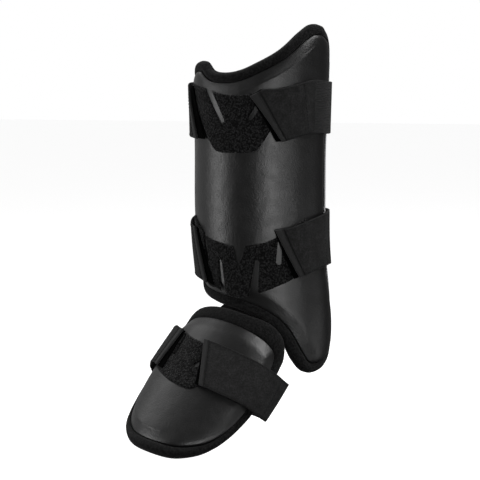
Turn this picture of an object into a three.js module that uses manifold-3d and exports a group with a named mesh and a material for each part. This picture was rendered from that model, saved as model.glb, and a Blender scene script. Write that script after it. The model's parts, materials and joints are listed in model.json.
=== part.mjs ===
// A batter's leg guard for the left leg: a moulded shin shell with a knee wing and an ankle flap, a
// moulded foot shell hung below it on a fabric hinge, and three elastic straps that close on loop patches.
// Millimetres, +Z up, -Y to the front, +X to the outer side of the leg. The origin is the middle of the
// shin hollow, midway between the two shin straps.
import * as THREE from "three";
import { mergeVertices } from "three/addons/utils/BufferGeometryUtils.js";
import Module from "manifold-3d";

const wasm = await Module();
wasm.setup();

// Driving dimensions
const GAP = 0.4; // clearance between two pieces that lie on each other
const SHIN_LENGTH = 340; // tip of the ankle flap to the top of the knee wing
const LEG_WIDTH = 112; // the leg inside the guard, side to side
const LEG_DEPTH = 98; // the leg inside the guard, front to back
const LINER_WALL = 4; // padded mesh lining
const SHELL_WALL = 6.5; // leather over moulded foam, on the face
const SHELL_EDGE_WALL = 3.2; // the same where it meets its binding
const BEVEL_WIDTH = 13; // the slope between the shell's edge and its face
const BINDING_WIDTH = 10; // knit band round the top and bottom edges
const BINDING_WALL = 4.8; // how far the knit band stands out of the lining
const PIPING_WIDTH = 3; // narrow binding along the rear edges
const REAR_ROLL_WIDTH = 8; // padded lining that shows behind the rear edges
const REAR_ROLL_WALL = 8.8;
const ROLL_SLOPE = 1.5;
const PATCH_WALL = 1.6; // loop fastener
const HOOK_WALL = 1.4; // hook fastener under a strap's tab
const TAB_WALL = 2; // woven strap end
const ELASTIC_WALL = 2;
const SHIN_STRAP_WIDTH = 51;
const FOOT_STRAP_WIDTH = 45;
const FOOT_LENGTH = 161; // ankle edge to toe edge, along the instep
const FOOT_WIDTH = 119; // the instep inside the guard
const FOOT_RISE = 46; // height of the instep's arch
const SOLE_DEPTH = 18; // from the widest line of the instep to the slack strap under the foot
const ANKLE_BINDING_WIDTH = 14; // the foot shell's binding along its ankle edge
const HINGE_WALL = 2.5; // fabric that joins the two shells on the inside
const HINGE_WIDTH = 60;
const HINGE_LAP = 24; // how far it reaches up and down over the linings

// How the foot shell hangs, in degrees, and where the middle of its ankle edge lies
const FOOT_PITCH = 42.3;
const FOOT_ROLL = 11.3;
const FOOT_YAW = 22.9;
const FOOT_SIDE = -4.8;
const FOOT_FORWARD = 7.94; // ahead of the leg's front
const FOOT_DROP = 2.48; // below the front of the shin guard's lower edge
const ANKLE_FRONT = 0.47; // the leg's front at the ankle, as a share of its depth
const SHIN_FRONT_EDGE = -0.378; // height of the shin guard's edge there, as a share of its length

// Leg sections from the top down. Heights are shares of the shin's length, half widths of the leg's
// width, and depths of the leg's depth.
const SHIN_SECTIONS = [
  { height: 0.47, inner: 0.49, outer: 0.55, front: 0.47, back: 0.53 },
  { height: 0.29, inner: 0.49, outer: 0.54, front: 0.47, back: 0.53 },
  { height: 0.09, inner: 0.475, outer: 0.525, front: 0.47, back: 0.53 },
  { height: -0.09, inner: 0.475, outer: 0.525, front: 0.47, back: 0.51 },
  { height: -0.19, inner: 0.455, outer: 0.53, front: 0.47, back: 0.48 },
  { height: -0.32, inner: 0.41, outer: 0.56, front: 0.45, back: 0.45 },
  { height: -0.4, inner: 0.38, outer: 0.575, front: ANKLE_FRONT, back: 0.43 },
  { height: -0.5, inner: 0.38, outer: 0.57, front: 0.49, back: 0.43 },
  { height: -0.6, inner: 0.38, outer: 0.54, front: 0.51, back: 0.43 },
];

// Outline of the shin guard, over the ankle flap and the knee wing and back along the inner side. Angles
// are degrees from the front, outer side positive, and heights are shares of the shin's length. Its four
// corners part the lower, outer, upper and inner sides.
const SHIN_OUTLINE = [
  { angle: -84, height: -0.3, corner: true },
  { angle: -62, height: -0.342 },
  { angle: -30, height: -0.362 },
  { angle: 1, height: SHIN_FRONT_EDGE },
  { angle: 17, height: -0.397 },
  { angle: 33, height: -0.435 },
  { angle: 49, height: -0.513 },
  { angle: 61, height: -0.557 },
  { angle: 78, height: -0.562 },
  { angle: 97, height: -0.53, corner: true },
  { angle: 106, height: -0.45 },
  { angle: 99, height: -0.35 },
  { angle: 93, height: -0.24 },
  { angle: 94, height: -0.06 },
  { angle: 95, height: 0.12 },
  { angle: 102, height: 0.28 },
  { angle: 101, height: 0.37, corner: true },
  { angle: 87, height: 0.425 },
  { angle: 70, height: 0.433 },
  { angle: 55, height: 0.41 },
  { angle: 35, height: 0.36 },
  { angle: 16, height: 0.326 },
  { angle: 0, height: 0.304 },
  { angle: -16, height: 0.298 },
  { angle: -31, height: 0.305 },
  { angle: -43, height: 0.329 },
  { angle: -60, height: 0.327 },
  { angle: -80, height: 0.29, corner: true },
  { angle: -94, height: 0.2 },
  { angle: -95, height: 0 },
  { angle: -93, height: -0.2 },
];

// Upper loop patch: top and bottom edge by angle, heights as shares of the shin's length.
const UPPER_PATCH = [
  { angle: -58, top: 0.262, bottom: 0.245 },
  { angle: -46, top: 0.26, bottom: 0.19 },
  { angle: -34, top: 0.253, bottom: 0.13 },
  { angle: -25, top: 0.246, bottom: 0.088 },
  { angle: -18, top: 0.24, bottom: 0.074 },
  { angle: 0, top: 0.234, bottom: 0.072 },
  { angle: 16, top: 0.24, bottom: 0.078 },
  { angle: 22, top: 0.244, bottom: 0.1 },
  { angle: 34, top: 0.253, bottom: 0.165 },
  { angle: 46, top: 0.26, bottom: 0.205 },
  { angle: 58, top: 0.262, bottom: 0.245 },
];
// Lower loop patch, whose arms rise to both sides.
const LOWER_PATCH = [
  { angle: -60, top: -0.115, bottom: -0.25 },
  { angle: -45, top: -0.145, bottom: -0.29 },
  { angle: -34, top: -0.172, bottom: -0.314 },
  { angle: -24, top: -0.18, bottom: -0.318 },
  { angle: -10, top: -0.189, bottom: -0.334 },
  { angle: 0, top: -0.193, bottom: -0.34 },
  { angle: 10, top: -0.189, bottom: -0.334 },
  { angle: 24, top: -0.18, bottom: -0.318 },
  { angle: 34, top: -0.165, bottom: -0.304 },
  { angle: 45, top: -0.145, bottom: -0.287 },
  { angle: 60, top: -0.115, bottom: -0.25 },
];
// Slots in the patches that leave the shell's face bare. Each runs from the patch's edge to a round end.
const UPPER_SLOTS = [
  { from: { angle: -34, height: 0.275 }, to: { angle: -14, height: 0.163 }, wide: 8.5, narrow: 5.5 },
  { from: { angle: 31, height: 0.275 }, to: { angle: 12, height: 0.17 }, wide: 5, narrow: 4 },
];
const LOWER_SLOTS = [
  { from: { angle: 2, height: -0.17 }, to: { angle: 1, height: -0.25 }, wide: 18, narrow: 1.5 },
  { from: { angle: -15, height: -0.34 }, to: { angle: -17.7, height: -0.24 }, wide: 7, narrow: 4.5 },
  { from: { angle: 13, height: -0.345 }, to: { angle: 17, height: -0.238 }, wide: 8.5, narrow: 4.5 },
  { from: { angle: -37, height: -0.15 }, to: { angle: -35, height: -0.236 }, wide: 3, narrow: 5.5 },
  { from: { angle: 37, height: -0.15 }, to: { angle: 35, height: -0.236 }, wide: 3, narrow: 5.5 },
];

// Centre lines of the two shin straps, once round the leg from the outer tab to the inner one.
const UPPER_STRAP_LINE = [
  { angle: 10, height: 0.176 },
  { angle: 36, height: 0.179 },
  { angle: 64, height: 0.201 },
  { angle: 90, height: 0.198 },
  { angle: 180, height: 0.194 },
  { angle: 270, height: 0.196 },
  { angle: 318, height: 0.184 },
  { angle: 340, height: 0.182 },
];
const LOWER_STRAP_LINE = [
  { angle: 30, height: -0.22 },
  { angle: 45, height: -0.212 },
  { angle: 64, height: -0.192 },
  { angle: 90, height: -0.177 },
  { angle: 180, height: -0.172 },
  { angle: 270, height: -0.198 },
  { angle: 295, height: -0.212 },
  { angle: 321, height: -0.225 },
  { angle: 335, height: -0.236 },
];
// Where each strap's pieces begin and end, in degrees: a tab's slanting end at its upper and lower edge,
// and where tab and elastic overlap. `cut` is how much of a tab's upper corner is cut off, in millimetres.
const UPPER_STRAP_ENDS = {
  outerTab: { upper: 12, lower: 37, seam: 68, cut: 7 },
  innerTab: { upper: 300, lower: 319, seam: 262 },
  elastic: { from: 60, to: 270 },
};
const LOWER_STRAP_ENDS = {
  outerTab: { upper: 32, lower: 51, seam: 92 },
  innerTab: { upper: 313, lower: 327, seam: 268 },
  elastic: { from: 84, to: 276 },
};
const FOOT_STRAP_ENDS = {
  outerTab: { upper: -3, lower: 15, seam: 88 },
  innerTab: { upper: 329, lower: 321, seam: 268 },
  elastic: { from: 78, to: 276 },
};
const HOOK_REVEAL = 5; // how far the hook fastener shows past the tab's end
const SLANT_TOP_REVEAL = 0.1; // the share of it at the upper corner
const CUT_LENGTH = 0.19; // how far a cut corner reaches, as a share of its tab

// Degrees from the front where a strap leaves one layer for the next
const CLIMB_ANGLE = 12; // how long each climb takes
const PATCH_LIMIT = 68; // off the loop patch
const SHIN_STRAP_TURNS = { edge: 105, behind: 109 }; // down the rear bevel, and in to the leg
const FOOT_STRAP_TURNS = { edge: 80, behind: 84 };
const HOOK_CLEARANCE = 2; // between a hook fastener and the elastic
const SHORTEST_HOOK = 4;
const FULL_TURN = 360;

// Foot sections from the ankle to the toe. Places are shares of the foot's length, half widths of its
// width and rises of its rise.
const FOOT_SECTIONS = [
  { place: -0.1, half: 0.435, rise: 1.06 },
  { place: 0, half: 0.46, rise: 1 },
  { place: 0.25, half: 0.495, rise: 0.855 },
  { place: 0.5, half: 0.5, rise: 0.745 },
  { place: 0.75, half: 0.465, rise: 0.67 },
  { place: 1, half: 0.395, rise: 0.63 },
  { place: 1.1, half: 0.355, rise: 0.62 },
];
// Outline of the foot guard: angles round the instep, outer side positive, and places along the foot. Its
// corners part the toe side, the outer side, the ankle side and the inner side.
const FOOT_OUTLINE = [
  { angle: -59, place: 0.84, corner: true },
  { angle: -50, place: 0.9 },
  { angle: -30, place: 0.975 },
  { angle: 0, place: 1 },
  { angle: 30, place: 0.975 },
  { angle: 50, place: 0.9 },
  { angle: 59, place: 0.84, corner: true },
  { angle: 67, place: 0.74 },
  { angle: 72, place: 0.6 },
  { angle: 73, place: 0.4 },
  { angle: 72, place: 0.21 },
  { angle: 69, place: 0.1 },
  { angle: 61, place: 0.032, corner: true },
  { angle: 48, place: 0.006 },
  { angle: 25, place: 0 },
  { angle: 0, place: 0 },
  { angle: -25, place: 0 },
  { angle: -48, place: 0.006 },
  { angle: -61, place: 0.032, corner: true },
  { angle: -69, place: 0.1 },
  { angle: -72, place: 0.21 },
  { angle: -73, place: 0.4 },
  { angle: -72, place: 0.6 },
  { angle: -67, place: 0.74 },
];
// Foot loop patch: ankle-side and toe-side edge by angle, as shares of the foot's length.
const FOOT_PATCH = [
  { angle: -56, top: 0.18, bottom: 0.42 },
  { angle: -46, top: 0.2, bottom: 0.47 },
  { angle: -36, top: 0.222, bottom: 0.507 },
  { angle: -24, top: 0.246, bottom: 0.542 },
  { angle: -12, top: 0.265, bottom: 0.566 },
  { angle: 0, top: 0.278, bottom: 0.576 },
  { angle: 8, top: 0.28, bottom: 0.566 },
  { angle: 16, top: 0.28, bottom: 0.51 },
  { angle: 30, top: 0.28, bottom: 0.46 },
];
const FOOT_SLOTS = [
  { from: { angle: 22, place: 0.25 }, to: { angle: 0.5, place: 0.42 }, wide: 4, narrow: 5 },
  { from: { angle: -30, place: 0.2 }, to: { angle: -28, place: 0.375 }, wide: 5, narrow: 4 },
];
const FOOT_STRAP_LINE = [
  { angle: -10, place: 0.4 },
  { angle: 15, place: 0.402 },
  { angle: 36, place: 0.396 },
  { angle: 59, place: 0.378 },
  { angle: 84, place: 0.35 },
  { angle: 115, place: 0.29 },
  { angle: 180, place: 0.25 },
  { angle: 245, place: 0.265 },
  { angle: 270, place: 0.29 },
  { angle: 308, place: 0.31 },
  { angle: 325, place: 0.352 },
  { angle: 340, place: 0.37 },
];

// The knit band's section, from its inner edge round to its outer one: shares of its width and its rise
const BINDING_SECTION = [
  { share: 0, rise: 0 },
  { share: 0, rise: 0.8 },
  { share: 0.4, rise: 1 },
  { share: 0.8, rise: 0.9 },
  { share: 1, rise: 0.5 },
  { share: 0.9, rise: 0 },
];
// How far an edge has turned to the rear, from 0 to 1, when each change to a rear edge starts and ends
const BINDING_LIFTS = [0.15, 0.4];
const BINDING_NARROWS = [0.45, 0.9];
const LINER_REACHES = [0.7, 0.88];
const LINER_SWELLS = [0.85, 0.98];
// The same for the foot's edge, turned to the ankle
const ANKLE_BINDING_WIDENS = [0.3, 0.9];

// Mesh fineness
const SHIN_GRID = { columns: 22, rows: 11 };
const FOOT_GRID = { columns: 16, rows: 7 };
const PATCH_ROWS = 4;
const STRAP_ROWS = 3;
const STEP_DEGREES = 6;
const PATCH_STEP_DEGREES = 4.5;
const CURVE_DIVISIONS = 16; // for each row of an outline's table
const INSET_STEP = 2;
const INSET_EVENING = 0.4;
const BACK_SQUARENESS = 0.8; // below 1 the sides run straighter back

// Layers, as distances out from the leg. Each follows from the one below it.
const SHELL_IN = LINER_WALL + GAP;
const SHELL_OUT = SHELL_IN + SHELL_WALL;
const BINDING_OUT = SHELL_IN + BINDING_WALL;
const PATCH_IN = SHELL_OUT + GAP;
const HOOK_IN = PATCH_IN + PATCH_WALL + GAP;
const TAB_IN = HOOK_IN + HOOK_WALL + GAP;
const FACE_STRAP_IN = SHELL_OUT + GAP;
const EDGE_STRAP_IN = Math.max(BINDING_OUT, REAR_ROLL_WALL) + GAP;
const BACK_STRAP_IN = LINER_WALL;
const ARC_RADIUS = LEG_WIDTH / 2 + SHELL_OUT; // turns an angle into a length along the shin
const FOOT_ARC_RADIUS = FOOT_WIDTH / 2 + SHELL_OUT;

const radians = THREE.MathUtils.degToRad;
const degrees = THREE.MathUtils.radToDeg;
const lerp = THREE.MathUtils.lerp;
const smoothstep = THREE.MathUtils.smoothstep;

// A column of a table at a key, eased through the rows by a Catmull-Rom curve.
function column(rows, key, name) {
  const sorted = [...rows].sort((p, q) => p[key] - q[key]);
  return (at) => {
    const last = sorted.length - 1;
    const next = sorted.findIndex((row) => row[key] > at);
    const i = next < 0 ? last - 1 : Math.max(next - 1, 0);
    const [a, b, c, d] = [i - 1, i, i + 1, i + 2].map((n) => sorted[Math.min(Math.max(n, 0), last)]);
    const share = THREE.MathUtils.clamp((at - b[key]) / (c[key] - b[key]), 0, 1);
    const slope = (p, q) => (q[name] - p[name]) / (q[key] - p[key] || 1);
    const [m0, m1] = [slope(a, c), slope(b, d)].map((m) => m * (c[key] - b[key]));
    const [s2, s3] = [share * share, share * share * share];
    const values = (2 * s3 - 3 * s2 + 1) * b[name] + (3 * s2 - 2 * s3) * c[name];
    return values + (s3 - 2 * s2 + share) * m0 + (s3 - s2) * m1;
  };
}

// A point on an oval of four quarters, `out` off it along the normal: [across, towards the front].
function oval({ inner, outer, front, back }, angle, out) {
  const [s, c] = [Math.sin(angle), Math.cos(angle)];
  const half = s < 0 ? inner : outer;
  const deep = c < 0 ? back : front;
  const power = c < 0 ? BACK_SQUARENESS : 1;
  const [ps, pc] = [Math.sign(s) * Math.abs(s) ** power, Math.sign(c) * Math.abs(c) ** power];
  const normal = new THREE.Vector2(
    (Math.sign(s) * Math.abs(s) ** (2 - power)) / half,
    (Math.sign(c) * Math.abs(c) ** (2 - power)) / deep,
  ).normalize();
  return [half * ps + normal.x * out, deep * pc + normal.y * out];
}

const shinColumns = ["inner", "outer", "front", "back"].map((name) =>
  column(SHIN_SECTIONS, "height", name),
);
// A point of the shin guard from its arc length, its height and its distance out from the leg.
function onShin(arc, height, out) {
  const [inner, outer, front, back] = shinColumns.map((at) => at(height / SHIN_LENGTH));
  const section = {
    inner: inner * LEG_WIDTH,
    outer: outer * LEG_WIDTH,
    front: front * LEG_DEPTH,
    back: back * LEG_DEPTH,
  };
  const [x, y] = oval(section, arc / ARC_RADIUS, out);
  return new THREE.Vector3(x, -y, height);
}

const footColumns = ["half", "rise"].map((name) => column(FOOT_SECTIONS, "place", name));
// A point of the foot guard in its own frame, whose toe points to -Y and whose instep faces +Z. Places
// along the foot are negative numbers that grow towards the ankle, so that outlines run the same way round
// as the shin's.
function onFoot(arc, along, out) {
  const [half, rise] = footColumns.map((at) => at(-along / FOOT_LENGTH));
  const section = {
    inner: half * FOOT_WIDTH,
    outer: half * FOOT_WIDTH,
    front: rise * FOOT_RISE,
    back: SOLE_DEPTH,
  };
  const [x, z] = oval(section, arc / FOOT_ARC_RADIUS, out);
  return new THREE.Vector3(x, along, z - FOOT_RISE);
}

// A closed mesh from vertices and faces, turned to face out.
function closedMesh(vertices, faces) {
  const volume = faces.reduce((sum, [a, b, c]) => {
    const [p, q, r] = [a, b, c].map((i) => vertices[i]);
    return sum + p.dot(q.clone().cross(r));
  }, 0);
  const turned = volume < 0 ? faces.map(([a, b, c]) => [a, c, b]) : faces;
  const numbers = vertices.flatMap((v) => v.toArray());
  const geometry = new THREE.BufferGeometry();
  geometry.setAttribute("position", new THREE.Float32BufferAttribute(numbers, 3));
  geometry.setIndex(turned.flat());
  return geometry;
}

// A closed outline through a table's points, anticlockwise from its first corner. The corners part it into
// four sides with evenly spaced points: `columns` steps on the first and third, `rows` on the others.
function outline(points, corners, columns, rows) {
  const curve = new THREE.CatmullRomCurve3(
    points.map(([x, y]) => new THREE.Vector3(x, y, 0)),
    true,
    "centripetal",
  );
  curve.arcLengthDivisions = points.length * CURVE_DIVISIONS;
  const lengths = curve.getLengths();
  const stops = corners.map((i) => lengths[i * CURVE_DIVISIONS] / lengths.at(-1));
  return stops.flatMap((start, side) => {
    const end = side < 3 ? stops[side + 1] : 1;
    const steps = side % 2 ? rows : columns;
    return Array.from({ length: steps }, (_, i) => {
      const p = curve.getPointAt(lerp(start, end, i / steps));
      return new THREE.Vector2(p.x, p.y);
    });
  });
}

// The direction out of an outline that runs anticlockwise, at each of its points.
function outward(loop) {
  return loop.map((_, i) => {
    const before = loop[(i + loop.length - 1) % loop.length];
    const after = loop[(i + 1) % loop.length];
    return new THREE.Vector2(after.y - before.y, before.x - after.x).normalize();
  });
}

// An outline moved inwards by a distance for each of its points. It moves in short steps and keeps its
// points evenly spaced, so that a tight corner doesn't fold over itself.
function inset(loop, distance) {
  const furthest = Math.max(...loop.map((_, i) => Math.abs(distance(i))));
  const steps = Math.max(1, Math.ceil(furthest / INSET_STEP));
  const evening = steps > 1 ? INSET_EVENING : 0;
  let ring = loop;
  for (let step = 0; step < steps; step++) {
    const normals = outward(ring);
    const moved = ring.map((p, i) => p.clone().addScaledVector(normals[i], -distance(i) / steps));
    ring = moved.map((p, i) => {
      const [before, after] = [moved[(i + loop.length - 1) % loop.length], moved[(i + 1) % loop.length]];
      const along = after.clone().sub(before).normalize();
      const slide = before.clone().add(after).multiplyScalar(0.5).sub(p).dot(along);
      return p.clone().addScaledVector(along, slide * evening);
    });
  }
  return ring;
}

// The four sides of an outline, each from its lower or inner end: lower, outer, upper and inner.
function sides(loop, columns, rows) {
  const run = (from, steps) => Array.from({ length: steps + 1 }, (_, i) => loop[(from + i) % loop.length]);
  return [
    run(0, columns),
    run(columns, rows),
    run(columns + rows, columns).reverse(),
    run(2 * columns + rows, rows).reverse(),
  ];
}

// A point inside an outline, at shares of the way across and up it.
function within([lower, outer, upper, inner], columns, rows, i, j) {
  const [s, t] = [i / columns, j / rows];
  const across = lower[i].clone().lerp(upper[i], t);
  const up = inner[j].clone().lerp(outer[j], s);
  const high = upper[0].clone().lerp(upper[columns], s);
  const corners = lower[0].clone().lerp(lower[columns], s).lerp(high, t);
  return across.add(up).sub(corners);
}

// A wall inside an outline. Rings follow the edge at the given insets, and a grid fills the last of them.
function wall({ loop, columns, rows, insets, place, low, high }) {
  const rings = insets.map((depth) => inset(loop, () => depth));
  const face = sides(rings.at(-1), columns, rows);
  const count = loop.length;
  const core = (rings.length - 1) * count;
  const inside = core + count;
  const flat = rings.flatMap((ring, k) => ring.map((p, i) => [p, insets[k], i]));
  for (let i = 1; i < columns; i++)
    for (let j = 1; j < rows; j++) flat.push([within(face, columns, rows, i, j), insets.at(-1), -1]);
  const at = (i, j) => {
    if (j === 0) return core + i;
    if (i === columns) return core + columns + j;
    if (j === rows) return core + 2 * columns + rows - i;
    if (i === 0) return core + 2 * columns + 2 * rows - j;
    return inside + (i - 1) * (rows - 1) + j - 1;
  };
  const faces = [];
  const quad = (a, b, c, d) => faces.push([a, b, c], [a, c, d]);
  for (let k = 1; k < rings.length; k++)
    for (let i = 0; i < count; i++) {
      const [a, b, j] = [(k - 1) * count, k * count, (i + 1) % count];
      quad(a + i, a + j, b + j, b + i);
    }
  for (let i = 0; i < columns; i++)
    for (let j = 0; j < rows; j++)
      quad(at(i, j), at((i + 1) % (columns + 1), j), at(i + 1, j + 1), at(i, j + 1));
  const half = flat.length;
  const back = faces.map(([a, b, c]) => [a, c, b]);
  const front = faces.map((face3) => face3.map((v) => v + half));
  const edge = loop.flatMap((_, i) => {
    const j = (i + 1) % count;
    return [
      [i, j, half + j],
      [i, half + j, half + i],
    ];
  });
  const vertices = [low, high].flatMap((out) =>
    flat.map(([p, depth, i]) => place(p.x, p.y, out(depth, i))),
  );
  return closedMesh(vertices, [...back, ...front, ...edge]);
}

// A rim between two outlines. Each section point has its share of the way from the inner to the outer one,
// and its distance out.
function rim({ outer, inner, section, place }) {
  const ring = section(0).length;
  const vertices = outer.flatMap((p, i) =>
    section(i).map(({ share, out }) => {
      const at = inner[i].clone().lerp(p, share);
      return place(at.x, at.y, out);
    }),
  );
  const faces = outer.flatMap((_, i) => {
    const [a, b] = [i * ring, ((i + 1) % outer.length) * ring];
    return Array.from({ length: ring }, (_, k) => {
      const next = (k + 1) % ring;
      return [
        [a + k, b + k, b + next],
        [a + k, b + next, a + next],
      ];
    }).flat();
  });
  return closedMesh(vertices, faces);
}

// A wall over a rectangle of shares, along and across. point(along, across, side) gives each corner, with
// side 0 or 1.
function strip(alongSteps, acrossSteps, point) {
  const vertices = [];
  const faces = [];
  const [m, n] = [alongSteps + 1, acrossSteps + 1];
  for (let side = 0; side < 2; side++)
    for (let i = 0; i < m; i++)
      for (let j = 0; j < n; j++) vertices.push(point(i / alongSteps, j / acrossSteps, side));
  const at = (i, j, side) => side * m * n + i * n + j;
  const quad = (a, b, c, d) => faces.push([a, b, c], [a, c, d]);
  for (let i = 0; i < alongSteps; i++) {
    for (let j = 0; j < acrossSteps; j++) {
      quad(at(i, j, 0), at(i, j + 1, 0), at(i + 1, j + 1, 0), at(i + 1, j, 0));
      quad(at(i, j, 1), at(i + 1, j, 1), at(i + 1, j + 1, 1), at(i, j + 1, 1));
    }
    quad(at(i, 0, 0), at(i + 1, 0, 0), at(i + 1, 0, 1), at(i, 0, 1));
    quad(at(i, n - 1, 0), at(i, n - 1, 1), at(i + 1, n - 1, 1), at(i + 1, n - 1, 0));
  }
  for (let j = 0; j < acrossSteps; j++) {
    quad(at(0, j, 0), at(0, j, 1), at(0, j + 1, 1), at(0, j + 1, 0));
    quad(at(m - 1, j, 0), at(m - 1, j + 1, 0), at(m - 1, j + 1, 1), at(m - 1, j, 1));
  }
  return closedMesh(vertices, faces);
}

// A geometry as a solid that can be cut, and back again.
function solid(geometry) {
  const merged = mergeVertices(geometry, 1e-4);
  return new wasm.Manifold(
    new wasm.Mesh({
      numProp: 3,
      vertProperties: new Float32Array(merged.getAttribute("position").array),
      triVerts: new Uint32Array(merged.index.array),
    }),
  );
}

function geometryOf(body) {
  const mesh = body.getMesh();
  const geometry = new THREE.BufferGeometry();
  geometry.setAttribute("position", new THREE.BufferAttribute(mesh.vertProperties, 3));
  geometry.setIndex(new THREE.BufferAttribute(mesh.triVerts, 1));
  return geometry;
}

// The two guards share one way of building, so each is described by its frame and its tables. `rear` says
// how much each point of the outline belongs to a rear edge, from 0 to 1.
function guardOf({ table, rearAt, bindingWidthAt, ...guard }) {
  const { key, sign, length, radius, columns, rows } = guard;
  const points = table.map((row) => [radians(row.angle) * radius, sign * row[key] * length]);
  const corners = table.flatMap((row, i) => (row.corner ? [i] : []));
  const loop = outline(points, corners, columns, rows);
  const normals = outward(loop);
  const rear = loop.map((p, i) => rearAt(normals[i], p));
  const inner = inset(loop, (i) => bindingWidthAt(normals[i], rear[i]));
  return { ...guard, loop, inner, rear };
}

const SHIN = guardOf({
  name: "shin",
  table: SHIN_OUTLINE,
  key: "height",
  sign: 1,
  length: SHIN_LENGTH,
  radius: ARC_RADIUS,
  ...SHIN_GRID,
  place: onShin,
  strapTurns: SHIN_STRAP_TURNS,
  rearAt: (n, p) => Math.max(0, n.x * Math.sign(p.x)),
  bindingWidthAt: (n, rear) => lerp(BINDING_WIDTH, PIPING_WIDTH, smoothstep(rear, ...BINDING_NARROWS)),
});
const FOOT = guardOf({
  name: "foot",
  table: FOOT_OUTLINE,
  key: "place",
  sign: -1,
  length: FOOT_LENGTH,
  radius: FOOT_ARC_RADIUS,
  ...FOOT_GRID,
  place: onFoot,
  strapTurns: FOOT_STRAP_TURNS,
  rearAt: () => 0,
  bindingWidthAt: (n) =>
    lerp(BINDING_WIDTH, ANKLE_BINDING_WIDTH, smoothstep(n.y, ...ANKLE_BINDING_WIDENS)),
});

function shell(guard) {
  return wall({
    ...guard,
    loop: inset(guard.inner, () => GAP),
    insets: [0, BEVEL_WIDTH / 2, BEVEL_WIDTH],
    low: () => SHELL_IN,
    high: (depth) => SHELL_IN + lerp(SHELL_EDGE_WALL, SHELL_WALL, depth / BEVEL_WIDTH),
  });
}

// How far the binding has lifted off the leg and onto the shell, from 0 to 1, at each point of an outline.
const bindingLift = (guard) => guard.rear.map((rear) => smoothstep(rear, ...BINDING_LIFTS));

// 1 where a value and both its neighbours round an outline have reached 1, and 0 elsewhere.
function whereSettled(values) {
  const count = values.length;
  return values.map((_, i) => [count - 1, 0, 1].every((step) => values[(i + step) % count] === 1) * 1);
}

// The lining stops at the binding, but along a rear edge it runs on behind it as a padded roll. At the
// roll's ends the lining first thins and then draws back.
function liner(guard) {
  const clear = whereSettled(bindingLift(guard));
  const reach = guard.rear.map((rear, i) => clear[i] * smoothstep(rear, ...LINER_REACHES));
  const clearOut = whereSettled(reach);
  const swell = guard.rear.map((rear, i) => clearOut[i] * smoothstep(rear, ...LINER_SWELLS));
  const edge = inset(guard.inner, () => GAP);
  const rolled = inset(guard.loop, () => -REAR_ROLL_WIDTH);
  const rollEnd = REAR_ROLL_WIDTH - PIPING_WIDTH / 2;
  return wall({
    ...guard,
    loop: edge.map((p, i) => p.clone().lerp(rolled[i], reach[i])),
    insets: Math.max(...reach) > 0 ? [0, rollEnd - ROLL_SLOPE, rollEnd] : [0],
    low: () => 0,
    high: (depth, i) => lerp(LINER_WALL, REAR_ROLL_WALL, i >= 0 && depth < rollEnd ? swell[i] : 0),
  });
}

// Knit binding: a soft D in section that wraps shell and lining, or the shell alone along a rear edge.
function binding(guard) {
  const lift = bindingLift(guard);
  return rim({
    outer: guard.loop,
    inner: guard.inner,
    place: guard.place,
    section: (i) =>
      BINDING_SECTION.map(({ share, rise }) => {
        return { share, out: lerp(lift[i] * SHELL_IN, BINDING_OUT, rise) };
      }),
  });
}

// A round-ended bar that cuts a slot through a patch.
const SLOT_STEPS = 6;
const SLOT_TIP = 0.1; // the share of its width that a slot's end keeps
function slotCutter(guard, { from, to, wide, narrow }) {
  const [a, b] = [from, to].map((row) => {
    const along = guard.sign * row[guard.key] * guard.length;
    return new THREE.Vector2(radians(row.angle) * guard.radius, along);
  });
  const reach = a.distanceTo(b);
  const along = b.clone().sub(a).normalize();
  const side = new THREE.Vector2(-along.y, along.x);
  const geometry = strip(SLOT_STEPS * 2, 2, (s, t, face) => {
    const straight = Math.min(s * 2, 1);
    const turn = (Math.max(s * 2 - 1, 0) * Math.PI) / 2;
    const half = (lerp(wide, narrow, straight) / 2) * Math.max(Math.cos(turn), SLOT_TIP);
    const length = reach * straight + (Math.sin(turn) * narrow) / 2;
    const at = a.clone().addScaledVector(along, length).addScaledVector(side, (2 * t - 1) * half);
    return guard.place(at.x, at.y, PATCH_IN + lerp(-PATCH_WALL, 2 * PATCH_WALL, face));
  });
  return solid(geometry);
}

function patch(guard, rows, slots) {
  const [top, bottom] = ["top", "bottom"].map((name) => column(rows, "angle", name));
  const [from, to] = [rows[0].angle, rows.at(-1).angle];
  const steps = Math.round((to - from) / PATCH_STEP_DEGREES);
  const plain = strip(steps, PATCH_ROWS, (s, t, side) => {
    const angle = lerp(from, to, s);
    const place = lerp(bottom(angle), top(angle), t) * guard.length * guard.sign;
    return guard.place(radians(angle) * guard.radius, place, PATCH_IN + side * PATCH_WALL);
  });
  return geometryOf(slots.reduce((body, slot) => body.subtract(slotCutter(guard, slot)), solid(plain)));
}

// A strap runs once round a guard. Its layer eases from the loop patch down to the shell, then down the
// shell's rear bevel, and behind the guard to the leg.
function strapLayers({ strapTurns: { edge, behind } }) {
  const fromFront = (angle) => Math.min(angle, FULL_TURN - angle);
  const offPatch = (angle) => smoothstep(fromFront(angle), PATCH_LIMIT - CLIMB_ANGLE, PATCH_LIMIT);
  const offFace = (angle) => smoothstep(fromFront(angle), edge - CLIMB_ANGLE, edge);
  const offEdge = (angle) => smoothstep(fromFront(angle), behind, behind + 2 * CLIMB_ANGLE);
  const elastic = (angle) =>
    lerp(lerp(FACE_STRAP_IN, EDGE_STRAP_IN, offFace(angle)), BACK_STRAP_IN, offEdge(angle));
  const tab = (angle) => lerp(TAB_IN, elastic(angle) + ELASTIC_WALL + GAP, offPatch(angle));
  return { elastic, tab, hook: () => HOOK_IN };
}

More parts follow.
